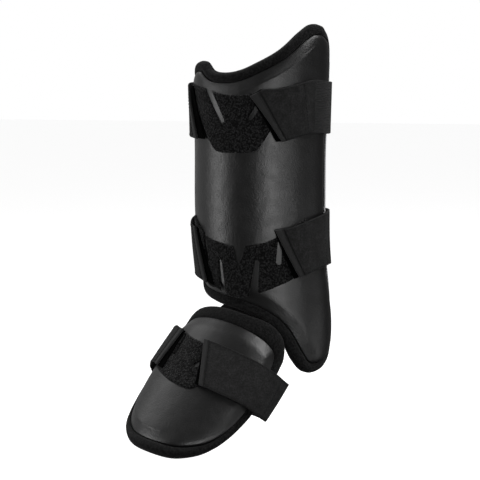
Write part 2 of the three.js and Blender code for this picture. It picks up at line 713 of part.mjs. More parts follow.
function strapPiece(guard, { line, width, from, to, layer, thickness, cut = 0 }) {
  const centre = column(line, "angle", guard.key);
  const longest = Math.max(Math.abs(to(0) - from(0)), Math.abs(to(1) - from(1)));
  return strip(Math.ceil(longest / STEP_DEGREES) + 1, STRAP_ROWS, (s, t, side) => {
    const angle = lerp(from(t), to(t), s);
    const middle = centre(angle) * guard.length * guard.sign;
    const across = (t - 0.5) * width - cut * t * t * Math.max(0, 1 - s / CUT_LENGTH);
    return guard.place(radians(angle) * guard.radius, middle + across, layer(angle) + side * thickness);
  });
}

function strapPieces(guard, line, width, ends) {
  const { outerTab, innerTab, elastic } = ends;
  const layers = strapLayers(guard);
  const reveal = (t) => degrees(HOOK_REVEAL / guard.radius) * lerp(1, SLANT_TOP_REVEAL, t);
  const shared = { line, width };
  const hookWidth = width - 2 * GAP;
  const innerHookFrom = FULL_TURN - PATCH_LIMIT + CLIMB_ANGLE;
  const innerHookTo = (t) => lerp(innerTab.lower, innerTab.upper, t) + 2 * reveal(t);
  return {
    outer_tab: strapPiece(guard, {
      ...shared,
      from: (t) => lerp(outerTab.lower, outerTab.upper, t),
      to: () => outerTab.seam,
      layer: layers.tab,
      thickness: TAB_WALL,
      cut: outerTab.cut,
    }),
    outer_hook: strapPiece(guard, {
      line,
      width: hookWidth,
      from: (t) => lerp(outerTab.lower, outerTab.upper, t) - reveal(t),
      to: () => Math.min(elastic.from - HOOK_CLEARANCE, PATCH_LIMIT - CLIMB_ANGLE),
      layer: layers.hook,
      thickness: HOOK_WALL,
      cut: outerTab.cut,
    }),
    elastic: strapPiece(guard, {
      ...shared,
      from: () => elastic.from,
      to: () => elastic.to,
      layer: layers.elastic,
      thickness: ELASTIC_WALL,
    }),
    inner_tab: strapPiece(guard, {
      ...shared,
      from: () => innerTab.seam,
      to: (t) => lerp(innerTab.lower, innerTab.upper, t),
      layer: layers.tab,
      thickness: TAB_WALL,
    }),
    inner_hook: strapPiece(guard, {
      line,
      width: hookWidth,
      from: () => innerHookFrom,
      to: (t) => Math.max(innerHookTo(t), innerHookFrom + SHORTEST_HOOK),
      layer: layers.hook,
      thickness: HOOK_WALL,
    }),
  };
}

// Fabric that joins the two linings on the inside, from the shin guard's lower edge to the foot guard's
// ankle edge.
const HINGE_STEPS = 6;
function ankleHinge(toShin) {
  const shinEdge = sides(SHIN.loop, SHIN.columns, SHIN.rows)[0];
  const footEdge = sides(FOOT.loop, FOOT.columns, FOOT.rows)[2];
  const edgeHeight = (edge, arc) => {
    const i = Math.max(edge.findIndex((p) => p.x > arc), 1);
    const [p, q] = [edge[i - 1], edge[i]];
    return lerp(p.y, q.y, (arc - p.x) / (q.x - p.x));
  };
  return strip(2 * HINGE_STEPS - 1, HINGE_STEPS, (s, t, side) => {
    const arc = (t - 0.5) * HINGE_WIDTH;
    const out = -GAP - side * HINGE_WALL;
    const step = Math.round(s * (2 * HINGE_STEPS - 1));
    if (step < HINGE_STEPS) {
      const up = (HINGE_LAP * (HINGE_STEPS - 1 - step)) / (HINGE_STEPS - 1);
      return onShin(arc, edgeHeight(shinEdge, arc) + up, out);
    }
    const down = (HINGE_LAP * (step - HINGE_STEPS)) / (HINGE_STEPS - 1);
    return toShin(onFoot(arc, edgeHeight(footEdge, arc) - down, out));
  });
}

const leather = new THREE.MeshStandardMaterial({ color: 0x2b2b2c, roughness: 0.5, metalness: 0 });
const knit = new THREE.MeshStandardMaterial({ color: 0x131313, roughness: 0.9, metalness: 0 });
const mesh = new THREE.MeshStandardMaterial({ color: 0x8c8c8c, roughness: 0.95, metalness: 0 });
const loopPile = new THREE.MeshStandardMaterial({ color: 0x090909, roughness: 1, metalness: 0 });
const webbing = new THREE.MeshStandardMaterial({ color: 0x1c1c1c, roughness: 0.85, metalness: 0 });

const guardGroup = new THREE.Group();
const footGroup = new THREE.Group();
footGroup.position.set(
  FOOT_SIDE,
  -(ANKLE_FRONT * LEG_DEPTH + FOOT_FORWARD),
  SHIN_FRONT_EDGE * SHIN_LENGTH - FOOT_DROP,
);
footGroup.rotation.set(radians(FOOT_PITCH), radians(FOOT_ROLL), -radians(FOOT_YAW), "ZXY");
guardGroup.add(footGroup);

function add(group, name, geometry, material) {
  const node = new THREE.Mesh(geometry, material);
  node.name = name;
  group.add(node);
}

[
  [guardGroup, SHIN],
  [footGroup, FOOT],
].forEach(([group, guard]) => {
  add(group, guard.name + "_shell", shell(guard), leather);
  add(group, guard.name + "_liner", liner(guard), mesh);
  add(group, guard.name + "_binding", binding(guard), knit);
});

add(guardGroup, "upper_loop_patch", patch(SHIN, UPPER_PATCH, UPPER_SLOTS), loopPile);
add(guardGroup, "lower_loop_patch", patch(SHIN, LOWER_PATCH, LOWER_SLOTS), loopPile);
add(footGroup, "foot_loop_patch", patch(FOOT, FOOT_PATCH, FOOT_SLOTS), loopPile);

[
  [guardGroup, SHIN, "upper_strap", UPPER_STRAP_LINE, SHIN_STRAP_WIDTH, UPPER_STRAP_ENDS],
  [guardGroup, SHIN, "lower_strap", LOWER_STRAP_LINE, SHIN_STRAP_WIDTH, LOWER_STRAP_ENDS],
  [footGroup, FOOT, "foot_strap", FOOT_STRAP_LINE, FOOT_STRAP_WIDTH, FOOT_STRAP_ENDS],
].forEach(([group, guard, name, line, width, ends]) => {
  Object.entries(strapPieces(guard, line, width, ends)).forEach(([piece, geometry]) =>
    add(group, name + "_" + piece, geometry, piece.endsWith("hook") ? loopPile : webbing),
  );
});

guardGroup.updateMatrixWorld(true);
add(guardGroup, "ankle_hinge", ankleHinge((p) => footGroup.localToWorld(p)), webbing);

export default guardGroup;
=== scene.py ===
"""The looks of a batter's leg guard, built round its solids. Metres, +Z up, -Y to the wearer's front."""

import json
import math
from types import SimpleNamespace

import bpy
import numpy as np
from mathutils import Matrix, Vector
from mathutils.geometry import delaunay_2d_cdt

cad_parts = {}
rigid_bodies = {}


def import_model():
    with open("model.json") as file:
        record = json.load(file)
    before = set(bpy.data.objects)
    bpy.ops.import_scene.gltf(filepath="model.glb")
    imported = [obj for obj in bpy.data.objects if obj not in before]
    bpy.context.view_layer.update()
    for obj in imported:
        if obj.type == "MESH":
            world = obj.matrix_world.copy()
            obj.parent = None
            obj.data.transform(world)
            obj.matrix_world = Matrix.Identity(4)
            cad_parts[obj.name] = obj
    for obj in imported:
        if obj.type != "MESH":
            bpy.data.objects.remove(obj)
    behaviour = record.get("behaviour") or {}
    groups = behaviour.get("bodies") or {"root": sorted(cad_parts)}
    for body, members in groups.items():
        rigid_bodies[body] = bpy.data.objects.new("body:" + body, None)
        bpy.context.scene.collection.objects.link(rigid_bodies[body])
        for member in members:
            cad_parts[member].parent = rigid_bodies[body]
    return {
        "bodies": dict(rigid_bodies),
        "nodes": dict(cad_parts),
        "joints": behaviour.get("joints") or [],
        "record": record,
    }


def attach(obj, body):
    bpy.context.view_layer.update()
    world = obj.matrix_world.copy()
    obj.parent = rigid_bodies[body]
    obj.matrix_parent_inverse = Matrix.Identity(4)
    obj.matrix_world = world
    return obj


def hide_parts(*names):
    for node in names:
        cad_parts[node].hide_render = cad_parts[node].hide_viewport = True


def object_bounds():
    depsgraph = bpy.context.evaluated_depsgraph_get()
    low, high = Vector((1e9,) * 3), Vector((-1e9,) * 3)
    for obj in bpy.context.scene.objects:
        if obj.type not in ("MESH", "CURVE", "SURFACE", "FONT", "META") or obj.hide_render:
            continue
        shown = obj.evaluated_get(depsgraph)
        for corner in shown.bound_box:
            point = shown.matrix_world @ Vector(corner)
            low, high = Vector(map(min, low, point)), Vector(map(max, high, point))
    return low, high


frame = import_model()
cad_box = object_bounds()

# Driving dimensions of the guard, as in its solids
MM = 0.001
GAP = 0.4 * MM
SHIN_LENGTH = 340 * MM
LEG_WIDTH = 112 * MM
LEG_DEPTH = 98 * MM
LINER_WALL = 4 * MM
SHELL_WALL = 6.5 * MM
BINDING_WIDTH = 10 * MM
BINDING_WALL = 4.8 * MM
PIPING_WIDTH = 3 * MM
REAR_ROLL_WIDTH = 8 * MM
REAR_ROLL_WALL = 8.8 * MM
PATCH_WALL = 1.6 * MM
HOOK_WALL = 1.4 * MM
TAB_WALL = 2 * MM
ELASTIC_WALL = 2 * MM
SHIN_STRAP_WIDTH = 51 * MM
FOOT_STRAP_WIDTH = 45 * MM
FOOT_LENGTH = 161 * MM
FOOT_WIDTH = 119 * MM
FOOT_RISE = 46 * MM
SOLE_DEPTH = 18 * MM
ANKLE_BINDING_WIDTH = 14 * MM
HINGE_WALL = 2.5 * MM
HINGE_WIDTH = 60 * MM
HINGE_LAP = 24 * MM
BACK_SQUARENESS = 0.8

# Strap ends: how much of the hook shows, its share at the slant's top, and a cut corner's share of the tab
HOOK_REVEAL = 5 * MM
TOP_REVEAL = 0.1
CUT_LENGTH = 0.19

# Relief of a tab's end: the folded border, and grooves past it as (depth, place, width) in millimetres
TAB_BORDER = 6 * MM
BORDER_RISE = 0.35 * MM
BORDER_STEP = 0.7 * MM
GROOVES = ((0.25, 0.5, 0.45), (0.18, 3, 0.6))

# Sewn rows of a tab: distances from its edges, past its border, and from its lapped end
EDGE_ROW = 1.8 * MM
BORDER_ROW = 1.6 * MM
LAP_ROW = 12 * MM
LAST_ROW = 3 * MM

# Degrees from the front where a strap leaves one layer for the next
CLIMB_ANGLE = 12
PATCH_LIMIT = 68
SHIN_STRAP_TURNS = SimpleNamespace(edge=105, behind=109)
FOOT_STRAP_TURNS = SimpleNamespace(edge=80, behind=84)
HOOK_CLEARANCE = 2
SHORTEST_HOOK = 4
FULL_TURN = 360

# How far an edge has turned to the rear, from 0 to 1, when each change to a rear edge starts and ends
BINDING_LIFTS = (0.15, 0.4)
BINDING_NARROWS = (0.45, 0.9)
LINER_REACHES = (0.7, 0.88)
LINER_SWELLS = (0.85, 0.98)
ANKLE_BINDING_WIDENS = (0.3, 0.9)

# Where the shell's edge has a crease, where it is plain, and where the binding is fuller. Each row has the
# way that the edge faces (1 towards the knee), how far it faces so at the start and in full, and four
# degrees from the front, between which the effect grows and fades. END and PAST_END are behind every edge.
END = 180
PAST_END = 181
SHIN_EDGES = SimpleNamespace(
    crease=[(1, 0.3, 0.7, -20, 15, 55, 80)],
    plain=[
        (1, 0.1, 0.5, -PAST_END, -END, -55, -5),
        (1, 0.1, 0.5, 52, 76, END, PAST_END),
        (-1, 0.1, 0.5, 56, 74, END, PAST_END),
    ],
    fullness=[(-1, 0.2, 0.6, 0, 25, 48, 64)],
)
FOOT_EDGES = SimpleNamespace(
    crease=[(-1, 0.1, 0.6, -75, -60, -20, 30)],
    plain=[(-1, 0.1, 0.4, -5, 30, END, PAST_END)],
    fullness=[(1, -0.2, 0.3, 10, 50, 80, 90)],
)
FULLNESS = 0.35

# How the foot shell hangs: turns in degrees, and the middle of its ankle edge
FOOT_PITCH = 42.3
FOOT_ROLL = 11.3
FOOT_YAW = 22.9
FOOT_SIDE = -4.8 * MM
FOOT_FORWARD = 7.94 * MM
FOOT_DROP = 2.48 * MM
ANKLE_FRONT = 0.47
SHIN_FRONT_EDGE = -0.378

# Layers, as distances out from the leg
SHELL_IN = LINER_WALL + GAP
SHELL_OUT = SHELL_IN + SHELL_WALL
BINDING_OUT = SHELL_IN + BINDING_WALL
PATCH_IN = SHELL_OUT + GAP
HOOK_IN = PATCH_IN + PATCH_WALL + GAP
TAB_IN = HOOK_IN + HOOK_WALL + GAP
FACE_STRAP_IN = SHELL_OUT + GAP
EDGE_STRAP_IN = max(BINDING_OUT, REAR_ROLL_WALL) + GAP
BACK_STRAP_IN = LINER_WALL
SHIN_RADIUS = LEG_WIDTH / 2 + SHELL_OUT
FOOT_RADIUS = FOOT_WIDTH / 2 + SHELL_OUT


def table(names, *rows):
    """A table's columns by name, as arrays."""
    return {name: np.array(values, float) for name, values in zip(names.split(), zip(*rows))}


# Leg sections: heights as shares of the shin's length, half widths of the leg's width, depths of its depth
SHIN_SECTIONS = table(
    "height inner outer front back",
    (0.47, 0.49, 0.55, 0.47, 0.53), (0.29, 0.49, 0.54, 0.47, 0.53),
    (0.09, 0.475, 0.525, 0.47, 0.53), (-0.09, 0.475, 0.525, 0.47, 0.51),
    (-0.19, 0.455, 0.53, 0.47, 0.48), (-0.32, 0.41, 0.56, 0.45, 0.45),
    (-0.4, 0.38, 0.575, ANKLE_FRONT, 0.43), (-0.5, 0.38, 0.57, 0.49, 0.43),
    (-0.6, 0.38, 0.54, 0.51, 0.43),
)
# Outline of the shin guard: degrees from the front, outer side positive, and shares of the shin's length
SHIN_OUTLINE = table(
    "angle height corner",
    (-84, -0.3, 1), (-62, -0.342, 0), (-30, -0.362, 0), (1, SHIN_FRONT_EDGE, 0), (17, -0.397, 0),
    (33, -0.435, 0), (49, -0.513, 0), (61, -0.557, 0), (78, -0.562, 0), (97, -0.53, 1),
    (106, -0.45, 0), (99, -0.35, 0), (93, -0.24, 0), (94, -0.06, 0), (95, 0.12, 0), (102, 0.28, 0),
    (101, 0.37, 1), (87, 0.425, 0), (70, 0.433, 0), (55, 0.41, 0), (35, 0.36, 0), (16, 0.326, 0),
    (0, 0.304, 0), (-16, 0.298, 0), (-31, 0.305, 0), (-43, 0.329, 0), (-60, 0.327, 0),
    (-80, 0.29, 1), (-94, 0.2, 0), (-95, 0, 0), (-93, -0.2, 0),
)
UPPER_PATCH = table(
    "angle top bottom",
    (-58, 0.262, 0.245), (-46, 0.26, 0.19), (-34, 0.253, 0.13), (-25, 0.246, 0.088),
    (-18, 0.24, 0.074), (0, 0.234, 0.072), (16, 0.24, 0.078), (22, 0.244, 0.1), (34, 0.253, 0.165),
    (46, 0.26, 0.205), (58, 0.262, 0.245),
)
LOWER_PATCH = table(
    "angle top bottom",
    (-60, -0.115, -0.25), (-45, -0.145, -0.29), (-34, -0.172, -0.314), (-24, -0.18, -0.318),
    (-10, -0.189, -0.334), (0, -0.193, -0.34), (10, -0.189, -0.334), (24, -0.18, -0.318),
    (34, -0.165, -0.304), (45, -0.145, -0.287), (60, -0.115, -0.25),
)
# Slots in the patches: from an edge to a round end, with both widths in millimetres
UPPER_SLOTS = table(
    "from_angle from_height to_angle to_height wide narrow",
    (-34, 0.275, -14, 0.163, 8.5, 5.5), (31, 0.275, 12, 0.17, 5, 4),
)
LOWER_SLOTS = table(
    "from_angle from_height to_angle to_height wide narrow",
    (2, -0.17, 1, -0.25, 18, 1.5), (-15, -0.34, -17.7, -0.24, 7, 4.5),
    (13, -0.345, 17, -0.238, 8.5, 4.5), (-37, -0.15, -35, -0.236, 3, 5.5),
    (37, -0.15, 35, -0.236, 3, 5.5),
)
UPPER_STRAP_LINE = table(
    "angle height",
    (10, 0.176), (36, 0.179), (64, 0.201), (90, 0.198), (180, 0.194), (270, 0.196), (318, 0.184),
    (340, 0.182),
)
LOWER_STRAP_LINE = table(
    "angle height",
    (30, -0.22), (45, -0.212), (64, -0.192), (90, -0.177), (180, -0.172), (270, -0.198),
    (295, -0.212), (321, -0.225), (335, -0.236),
)
# Degrees where the straps' pieces begin and end: a tab's slanting end at its two edges, and its lap on the
# elastic. cut is how many millimetres of the outer tab's upper corner are cut off.
UPPER_ENDS = SimpleNamespace(outer_tab=(37, 12, 68), inner_tab=(319, 300, 262), elastic=(60, 270), cut=7)
LOWER_ENDS = SimpleNamespace(outer_tab=(51, 32, 92), inner_tab=(327, 313, 268), elastic=(84, 276), cut=0)
FOOT_ENDS = SimpleNamespace(outer_tab=(15, -3, 88), inner_tab=(321, 329, 268), elastic=(78, 276), cut=0)

# Foot sections from the ankle to the toe: places as shares of the foot's length
FOOT_SECTIONS = table(
    "place half rise",
    (-0.1, 0.435, 1.06), (0, 0.46, 1), (0.25, 0.495, 0.855), (0.5, 0.5, 0.745), (0.75, 0.465, 0.67),
    (1, 0.395, 0.63), (1.1, 0.355, 0.62),
)
FOOT_OUTLINE = table(
    "angle place corner",
    (-59, 0.84, 1), (-50, 0.9, 0), (-30, 0.975, 0), (0, 1, 0), (30, 0.975, 0), (50, 0.9, 0),
    (59, 0.84, 1), (67, 0.74, 0), (72, 0.6, 0), (73, 0.4, 0), (72, 0.21, 0), (69, 0.1, 0),
    (61, 0.032, 1), (48, 0.006, 0), (25, 0, 0), (0, 0, 0), (-25, 0, 0), (-48, 0.006, 0),
    (-61, 0.032, 1), (-69, 0.1, 0), (-72, 0.21, 0), (-73, 0.4, 0), (-72, 0.6, 0), (-67, 0.74, 0),
)
FOOT_PATCH = table(
    "angle top bottom",
    (-56, 0.18, 0.42), (-46, 0.2, 0.47), (-36, 0.222, 0.507), (-24, 0.246, 0.542),
    (-12, 0.265, 0.566), (0, 0.278, 0.576), (8, 0.28, 0.566), (16, 0.28, 0.51), (30, 0.28, 0.46),
)
FOOT_SLOTS = table(
    "from_angle from_place to_angle to_place wide narrow",
    (22, 0.25, 0.5, 0.42, 4, 5), (-30, 0.2, -28, 0.375, 5, 4),
)
FOOT_STRAP_LINE = table(
    "angle place",
    (-10, 0.4), (15, 0.402), (36, 0.396), (59, 0.378), (84, 0.35), (115, 0.29), (180, 0.25),
    (245, 0.265), (270, 0.29), (308, 0.31), (325, 0.352), (340, 0.37),
)

# Profiles: the shell's wall at depths in millimetres from its edge, with a crease, a soft bevel and a plain
# edge, and the binding's section, with how many millimetres it tucks in under the shell's edge
SHELL_PROFILE = table(
    "depth creased soft plain",
    (0, 0.42, 0.42, 0.6), (0.3, 0.49, 0.47, 0.69), (1, 0.56, 0.51, 0.79), (3, 0.67, 0.59, 0.9),
    (5.5, 0.79, 0.7, 0.95), (7.6, 0.875, 0.79, 0.97), (8.4, 0.895, 0.825, 0.976),
    (9, 0.918, 0.85, 0.98), (9.7, 0.965, 0.88, 0.984), (10.4, 0.988, 0.908, 0.988),
    (11.2, 0.997, 0.935, 0.992), (13, 1, 0.975, 0.997), (16, 1, 1, 1),
)
BINDING_PROFILE = table(
    "share rise tuck",
    (0, 0, 0.6), (0, 0.6, 0.6), (0, 0.62, 0), (0.03, 0.74, 0), (0.08, 0.83, 0), (0.16, 0.9, 0),
    (0.28, 0.96, 0), (0.42, 0.99, 0), (0.54, 1, 0), (0.66, 0.98, 0), (0.78, 0.92, 0),
    (0.88, 0.81, 0), (0.95, 0.67, 0), (1, 0.5, 0), (1, 0.28, 0), (0.97, 0.1, 0), (0.9, 0, 0),
)
# A stitch's section along it, in shares of its length and radius
STITCH_PROFILE = table(
    "share width lift",
    (0, 0.35, -0.7), (0.15, 0.9, 0.25), (0.5, 1, 0.55), (0.85, 0.9, 0.25), (1, 0.35, -0.7),
)
STITCH_LENGTH = 2.3 * MM
STITCH_PITCH = 3.1 * MM
STITCH_RADIUS = 0.28 * MM
STITCH_SIDES = 6

# The liner: rings of its rear roll and how low its sides are, the part of a grid that it takes to start and
# stop in, and the rim of a liner that has no roll
ROLL_RINGS = (0, 0.12, 0.3, 0.5, 0.7, 0.88, 1.0)
ROLL_SIDE = 0.55
LOWEST_CROWN = 0.15
SETTLE_SHARE = 22
LINER_RIM = 2 * MM

# The patches: rounding at the edge, pile from the edge to the face as shares of the wall, and its tufts
PATCH_ROUND = 1.4 * MM
PATCH_PILE = (0.45, 0.95)
PATCH_SINK = GAP * 0.7
TUFTS = (-0.12, 0.06)
TUFT_SEED = 7

# The straps' rounded edges, with their steps as shares of the rounding
STRAP_ROUND = 0.9 * MM
ROUND_STEPS = (0, 0.12, 0.35, 0.65, 1)
THINNEST_EDGE = 0.02

# Materials: greys between which each is coloured, then its roughness, sheen and specular level
SURFACES = {
    "leather": (0.006, 0.009, 0.5, 0, 0.5),
    "knit": (0.001, 0.010, 0.92, 0.05, 0.15),
    "mesh": (0.34, 0.10, 0.85, 0.2, 0.3),
    "loop": (0.0015, 0.022, 0.95, 0.12, 0.1),
    "hook": (0.0005, 0.002, 1, 0, 0.03),
    "webbing": (0.0015, 0.0195, 0.82, 0.04, 0.2),
    "border": (0.009, 0.015, 0.75, 0.08, 0.25),
    "elastic": (0.006, 0.015, 0.85, 0.05, 0.2),
    "thread": (0.005, 0.010, 0.85, 0.02, 0.15),
    "floor": (0.80, 0.84, 0.9, 0, 0.5),
}
BLUE_CAST = 1.02
LEATHER_ROUGHNESS = (0.33, 0.41)
LOOP_SHEEN_ROUGHNESS = 0.35
# Millimetres past a tab's border to the middle of the painted shade in its seam
SEAM_OFF = 0.7

# Camera, at the photograph's angle
CAMERA_AZIMUTH = 22
CAMERA_ELEVATION = 6
CAMERA_DISTANCE = 1.5
VIEW_HEIGHT = 0.48
VIEW_SIDE = -0.018
VIEW_MIDDLE = -0.065

# Light: the surround, brightest in one direction from the camera, the floor, and the softboxes, each with
# its degrees round from the camera and up, distance, width and height in metres, and watts
BACKGROUND_LIGHT = 1.0
FRONT_LIGHT = 0.06
BACK_LIGHT = 0.4
BACK_LIGHT_AZIMUTH = -130
BACK_LIGHT_ELEVATION = 20
BACK_LIGHT_FULL = 0.7
FLOOR_GLOW = 0.78
FLOOR_DROP = 0.03
FLOOR_HALF = 12
SOFTBOXES = (
    ("left_softbox", -77, 0, 1.5, 0.5, 1.3, 9),
    ("right_softbox", 6, -2, 1.9, 0.75, 1.2, 14),
    ("side_softbox", 34, -10, 1.9, 0.5, 1.2, 4.5),
    ("high_left_softbox", -114, 42, 1.6, 0.9, 0.9, 3.8),
    ("high_right_softbox", 76, 56, 1.6, 1.0, 0.9, 15),
    ("low_side_softbox", 76, -20, 1.2, 1.0, 0.6, 1.7),
    ("top_softbox", 50, 42, 1.6, 0.7, 0.5, 5),
)

# Mesh fineness
SHIN_GRID = (132, 84)
FOOT_GRID = (96, 60)
RIM_FINENESS = 2
EDGE_CHANGE = 4
BEND_PASSES = 6
CURVE_STEPS = 32
INSET_STEP = 1 * MM
INSET_EVENING = 0.45
PATCH_POINTS = 1.1 * MM
PATCH_RIM_STEPS = 90
SLOT_ARC_STEPS = 9
WELD = 1e-5
TINY = 1e-12
STRAP_STEP = 1.3 * MM
HINGE_STEPS = (24, 33)


def ease(value, low, high):
    """0 up to low, 1 from high on, smooth between."""
    share = np.clip((np.asarray(value, float) - low) / (high - low), 0, 1)
    return share * share * (3 - 2 * share)


def between(value, start, full, fade, end):
    """1 from full to fade, 0 before start and after end, smooth between."""
    return ease(value, start, full) * (1 - ease(value, fade, end))


def mix(a, b, share):
    return a + (b - a) * share


def unit(vectors):
    return vectors / np.maximum(np.linalg.norm(vectors, axis=-1, keepdims=True), TINY)


def column(rows, key, name):
    """A column of a table at a key, eased through the rows by a Catmull-Rom curve."""
    order = np.argsort(rows[key])
    x, y = rows[key][order], rows[name][order]
    after = np.minimum(np.arange(len(x)) + 1, len(x) - 1)
    before = np.maximum(np.arange(len(x)) - 1, 0)
    slope = (y[after] - y[before]) / (x[after] - x[before])

    def at(value):
        i = np.clip(np.searchsorted(x, value, "right") - 1, 0, len(x) - 2)
        step = x[i + 1] - x[i]
        s = np.clip((value - x[i]) / step, 0, 1)
        rise = 3 * s**2 - 2 * s**3
        bend = (s**3 - 2 * s**2 + s) * slope[i] + (s**3 - s**2) * slope[i + 1]
        return y[i] + (y[i + 1] - y[i]) * rise + bend * step

    return at


def oval(inner, outer, front, back, angle, out):
    """A point on an oval of four quarters, `out` off it along the normal: across, and towards the front."""
    s, c = np.sin(angle), np.cos(angle)
    half = np.where(s < 0, inner, outer)
    deep = np.where(c < 0, back, front)
    power = np.where(c < 0, BACK_SQUARENESS, 1)
    turn = 2 - power
    normal = unit(np.stack([np.sign(s) * abs(s) ** turn / half, np.sign(c) * abs(c) ** turn / deep], -1))
    x = half * np.sign(s) * abs(s) ** power + normal[..., 0] * out
    y = deep * np.sign(c) * abs(c) ** power + normal[..., 1] * out
    return x, y


shin_columns = [column(SHIN_SECTIONS, "height", name) for name in ("inner", "outer", "front", "back")]
foot_columns = [column(FOOT_SECTIONS, "place", name) for name in ("half", "rise")]
foot_front = ANKLE_FRONT * LEG_DEPTH + FOOT_FORWARD
foot_place = np.array([FOOT_SIDE, -foot_front, SHIN_FRONT_EDGE * SHIN_LENGTH - FOOT_DROP])
foot_turn = np.array(
    Matrix.Rotation(math.radians(-FOOT_YAW), 3, "Z")
    @ Matrix.Rotation(math.radians(FOOT_PITCH), 3, "X")
    @ Matrix.Rotation(math.radians(FOOT_ROLL), 3, "Y")
)


def on_shin(arc, height, out):
    """Points of the shin guard from their arc length, height and distance out from the leg."""
    arc, height, out = np.broadcast_arrays(arc, height, out)
    inner, outer, front, back = [at(height / SHIN_LENGTH) for at in shin_columns]
    sides = (inner * LEG_WIDTH, outer * LEG_WIDTH, front * LEG_DEPTH, back * LEG_DEPTH)
    x, y = oval(*sides, arc / SHIN_RADIUS, out)
    return np.stack([x, -y, height], -1)


def on_foot(arc, along, out):
    """Points of the foot guard, as it hangs. Places along it are negative and grow towards the ankle."""
    arc, along, out = np.broadcast_arrays(arc, along, out)
    half, rise = [at(-along / FOOT_LENGTH) for at in foot_columns]
    x, z = oval(half * FOOT_WIDTH, half * FOOT_WIDTH, rise * FOOT_RISE, SOLE_DEPTH, arc / FOOT_RADIUS, out)
    return np.stack([x, along, z - FOOT_RISE], -1) @ foot_turn.T + foot_place


def outline(points, corners, columns, rows):
    """A closed centripetal curve through points, its four sides between corners evenly spaced."""
    count = len(points)
    share = np.arange(CURVE_STEPS)[:, None] / CURVE_STEPS
    runs = []
    for i in range(count):
        a, b, c, d = [points[(i + k) % count] for k in (-1, 0, 1, 2)]
        gaps = [math.sqrt(np.linalg.norm(q - p)) for p, q in ((a, b), (b, c), (c, d))]
        leave = ((b - a) / gaps[0] - (c - a) / (gaps[0] + gaps[1]) + (c - b) / gaps[1]) * gaps[1]
        arrive = ((c - b) / gaps[1] - (d - b) / (gaps[1] + gaps[2]) + (d - c) / gaps[2]) * gaps[1]
        runs.append(
            b
            + leave * share
            + (3 * (c - b) - 2 * leave - arrive) * share**2
            + (2 * (b - c) + leave + arrive) * share**3
        )
    dense = np.concatenate([*runs, points[:1]])
    length = np.concatenate([[0], np.cumsum(np.linalg.norm(np.diff(dense, axis=0), axis=1))])
    stops = [*length[np.array(corners) * CURVE_STEPS], length[-1]]
    sides = zip(stops, stops[1:], (columns, rows, columns, rows))
    places = np.concatenate([np.linspace(start, end, steps, endpoint=False) for start, end, steps in sides])
    return np.stack([np.interp(places, length, dense[:, k]) for k in (0, 1)], 1)


def outward(loop):
    """The direction out of an anticlockwise outline, at each of its points."""
    along = np.roll(loop, -1, 0) - np.roll(loop, 1, 0)
    return unit(np.stack([along[:, 1], -along[:, 0]], 1))


def inset(loop, distance):
    """An outline moved inwards by a distance for each point, in short steps that keep its points even."""
    distance = np.broadcast_to(distance, len(loop))
    steps = max(1, math.ceil(abs(distance).max() / INSET_STEP))
    evening = INSET_EVENING if steps > 1 else 0
    for _ in range(steps):
        moved = loop - outward(loop) * (distance / steps)[:, None]
        before, after = np.roll(moved, 1, 0), np.roll(moved, -1, 0)
        along = unit(after - before)
        slide = (((before + after) / 2 - moved) * along).sum(1, keepdims=True)
        loop = moved + along * slide * evening
    return loop


def evened(values, reach):
    """Values round an outline, each averaged with the ones up to a reach away."""
    for _ in range(2):
        values = np.mean([np.roll(values, step) for step in range(-reach, reach + 1)], 0)
    return values


def softened(loop, passes):
    """An outline with its tight bends eased."""
    for _ in range(passes):
        loop = (np.roll(loop, 1, 0) + 2 * loop + np.roll(loop, -1, 0)) / 4
    return loop


def grid_inside(loop, columns, rows):
    """The points inside an outline whose sides have these steps, and each grid place's index in both."""
    around = np.arange(len(loop))
    lower = loop[: columns + 1]
    outer = loop[columns : columns + rows + 1]
    upper = loop[columns + rows : 2 * columns + rows + 1][::-1]
    inner = loop[np.concatenate([around[2 * columns + rows :], [0]])][::-1]
    s = np.linspace(0, 1, columns + 1)[:, None, None]
    t = np.linspace(0, 1, rows + 1)[None, :, None]
    across = lower[:, None] * (1 - t) + upper[:, None] * t
    up = inner[None] * (1 - s) + outer[None] * s
    low_line = lower[0] * (1 - s) + lower[-1] * s
    high_line = upper[0] * (1 - s) + upper[-1] * s
    points = across + up - (low_line * (1 - t) + high_line * t)
    index = np.zeros((columns + 1, rows + 1), int)
    index[:, 0] = around[: columns + 1]
    index[-1, :] = around[columns : columns + rows + 1]
    index[:, -1] = around[columns + rows : 2 * columns + rows + 1][::-1]
    index[0, 1:] = around[2 * columns + rows :][::-1]
    index[1:-1, 1:-1] = len(loop) + np.arange((columns - 1) * (rows - 1)).reshape(columns - 1, rows - 1)
    return points[1:-1, 1:-1].reshape(-1, 2), index


def grid_quads(index):
    """Quads over a two-way grid of vertex numbers."""
    return np.stack([index[:-1, :-1], index[1:, :-1], index[1:, 1:], index[:-1, 1:]], -1).reshape(-1, 4)


def link(name, data):
    item = bpy.data.objects.new(name, data)
    bpy.context.scene.collection.objects.link(item)
    return item


def add_piece(name, vertices, faces, uv, material, sharp=40, added=False):
    """A mesh piece with a weave map in metres: uv is for each vertex, or for each corner of each face. It
    takes the place of the solid of its name, or is added."""
    mesh = bpy.data.meshes.new(name)
    mesh.from_pydata(vertices.tolist(), [], [list(face) for face in faces])
    mesh.update()
    corners = np.zeros(len(mesh.loops), int)
    mesh.loops.foreach_get("vertex_index", corners)
    by_corner = uv[corners] if len(uv) == len(vertices) else uv
    mesh.uv_layers.new(name="weave").data.foreach_set("uv", np.asarray(by_corner, np.float32).ravel())
    mesh.polygons.foreach_set("use_smooth", np.ones(len(mesh.polygons), bool))
    mesh.set_sharp_from_angle(angle=math.radians(sharp))
    mesh.materials.append(material)
    piece = link(name, mesh)
    turn_out(mesh)
    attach(piece, "root")
    if not added:
        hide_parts(name)
    return piece


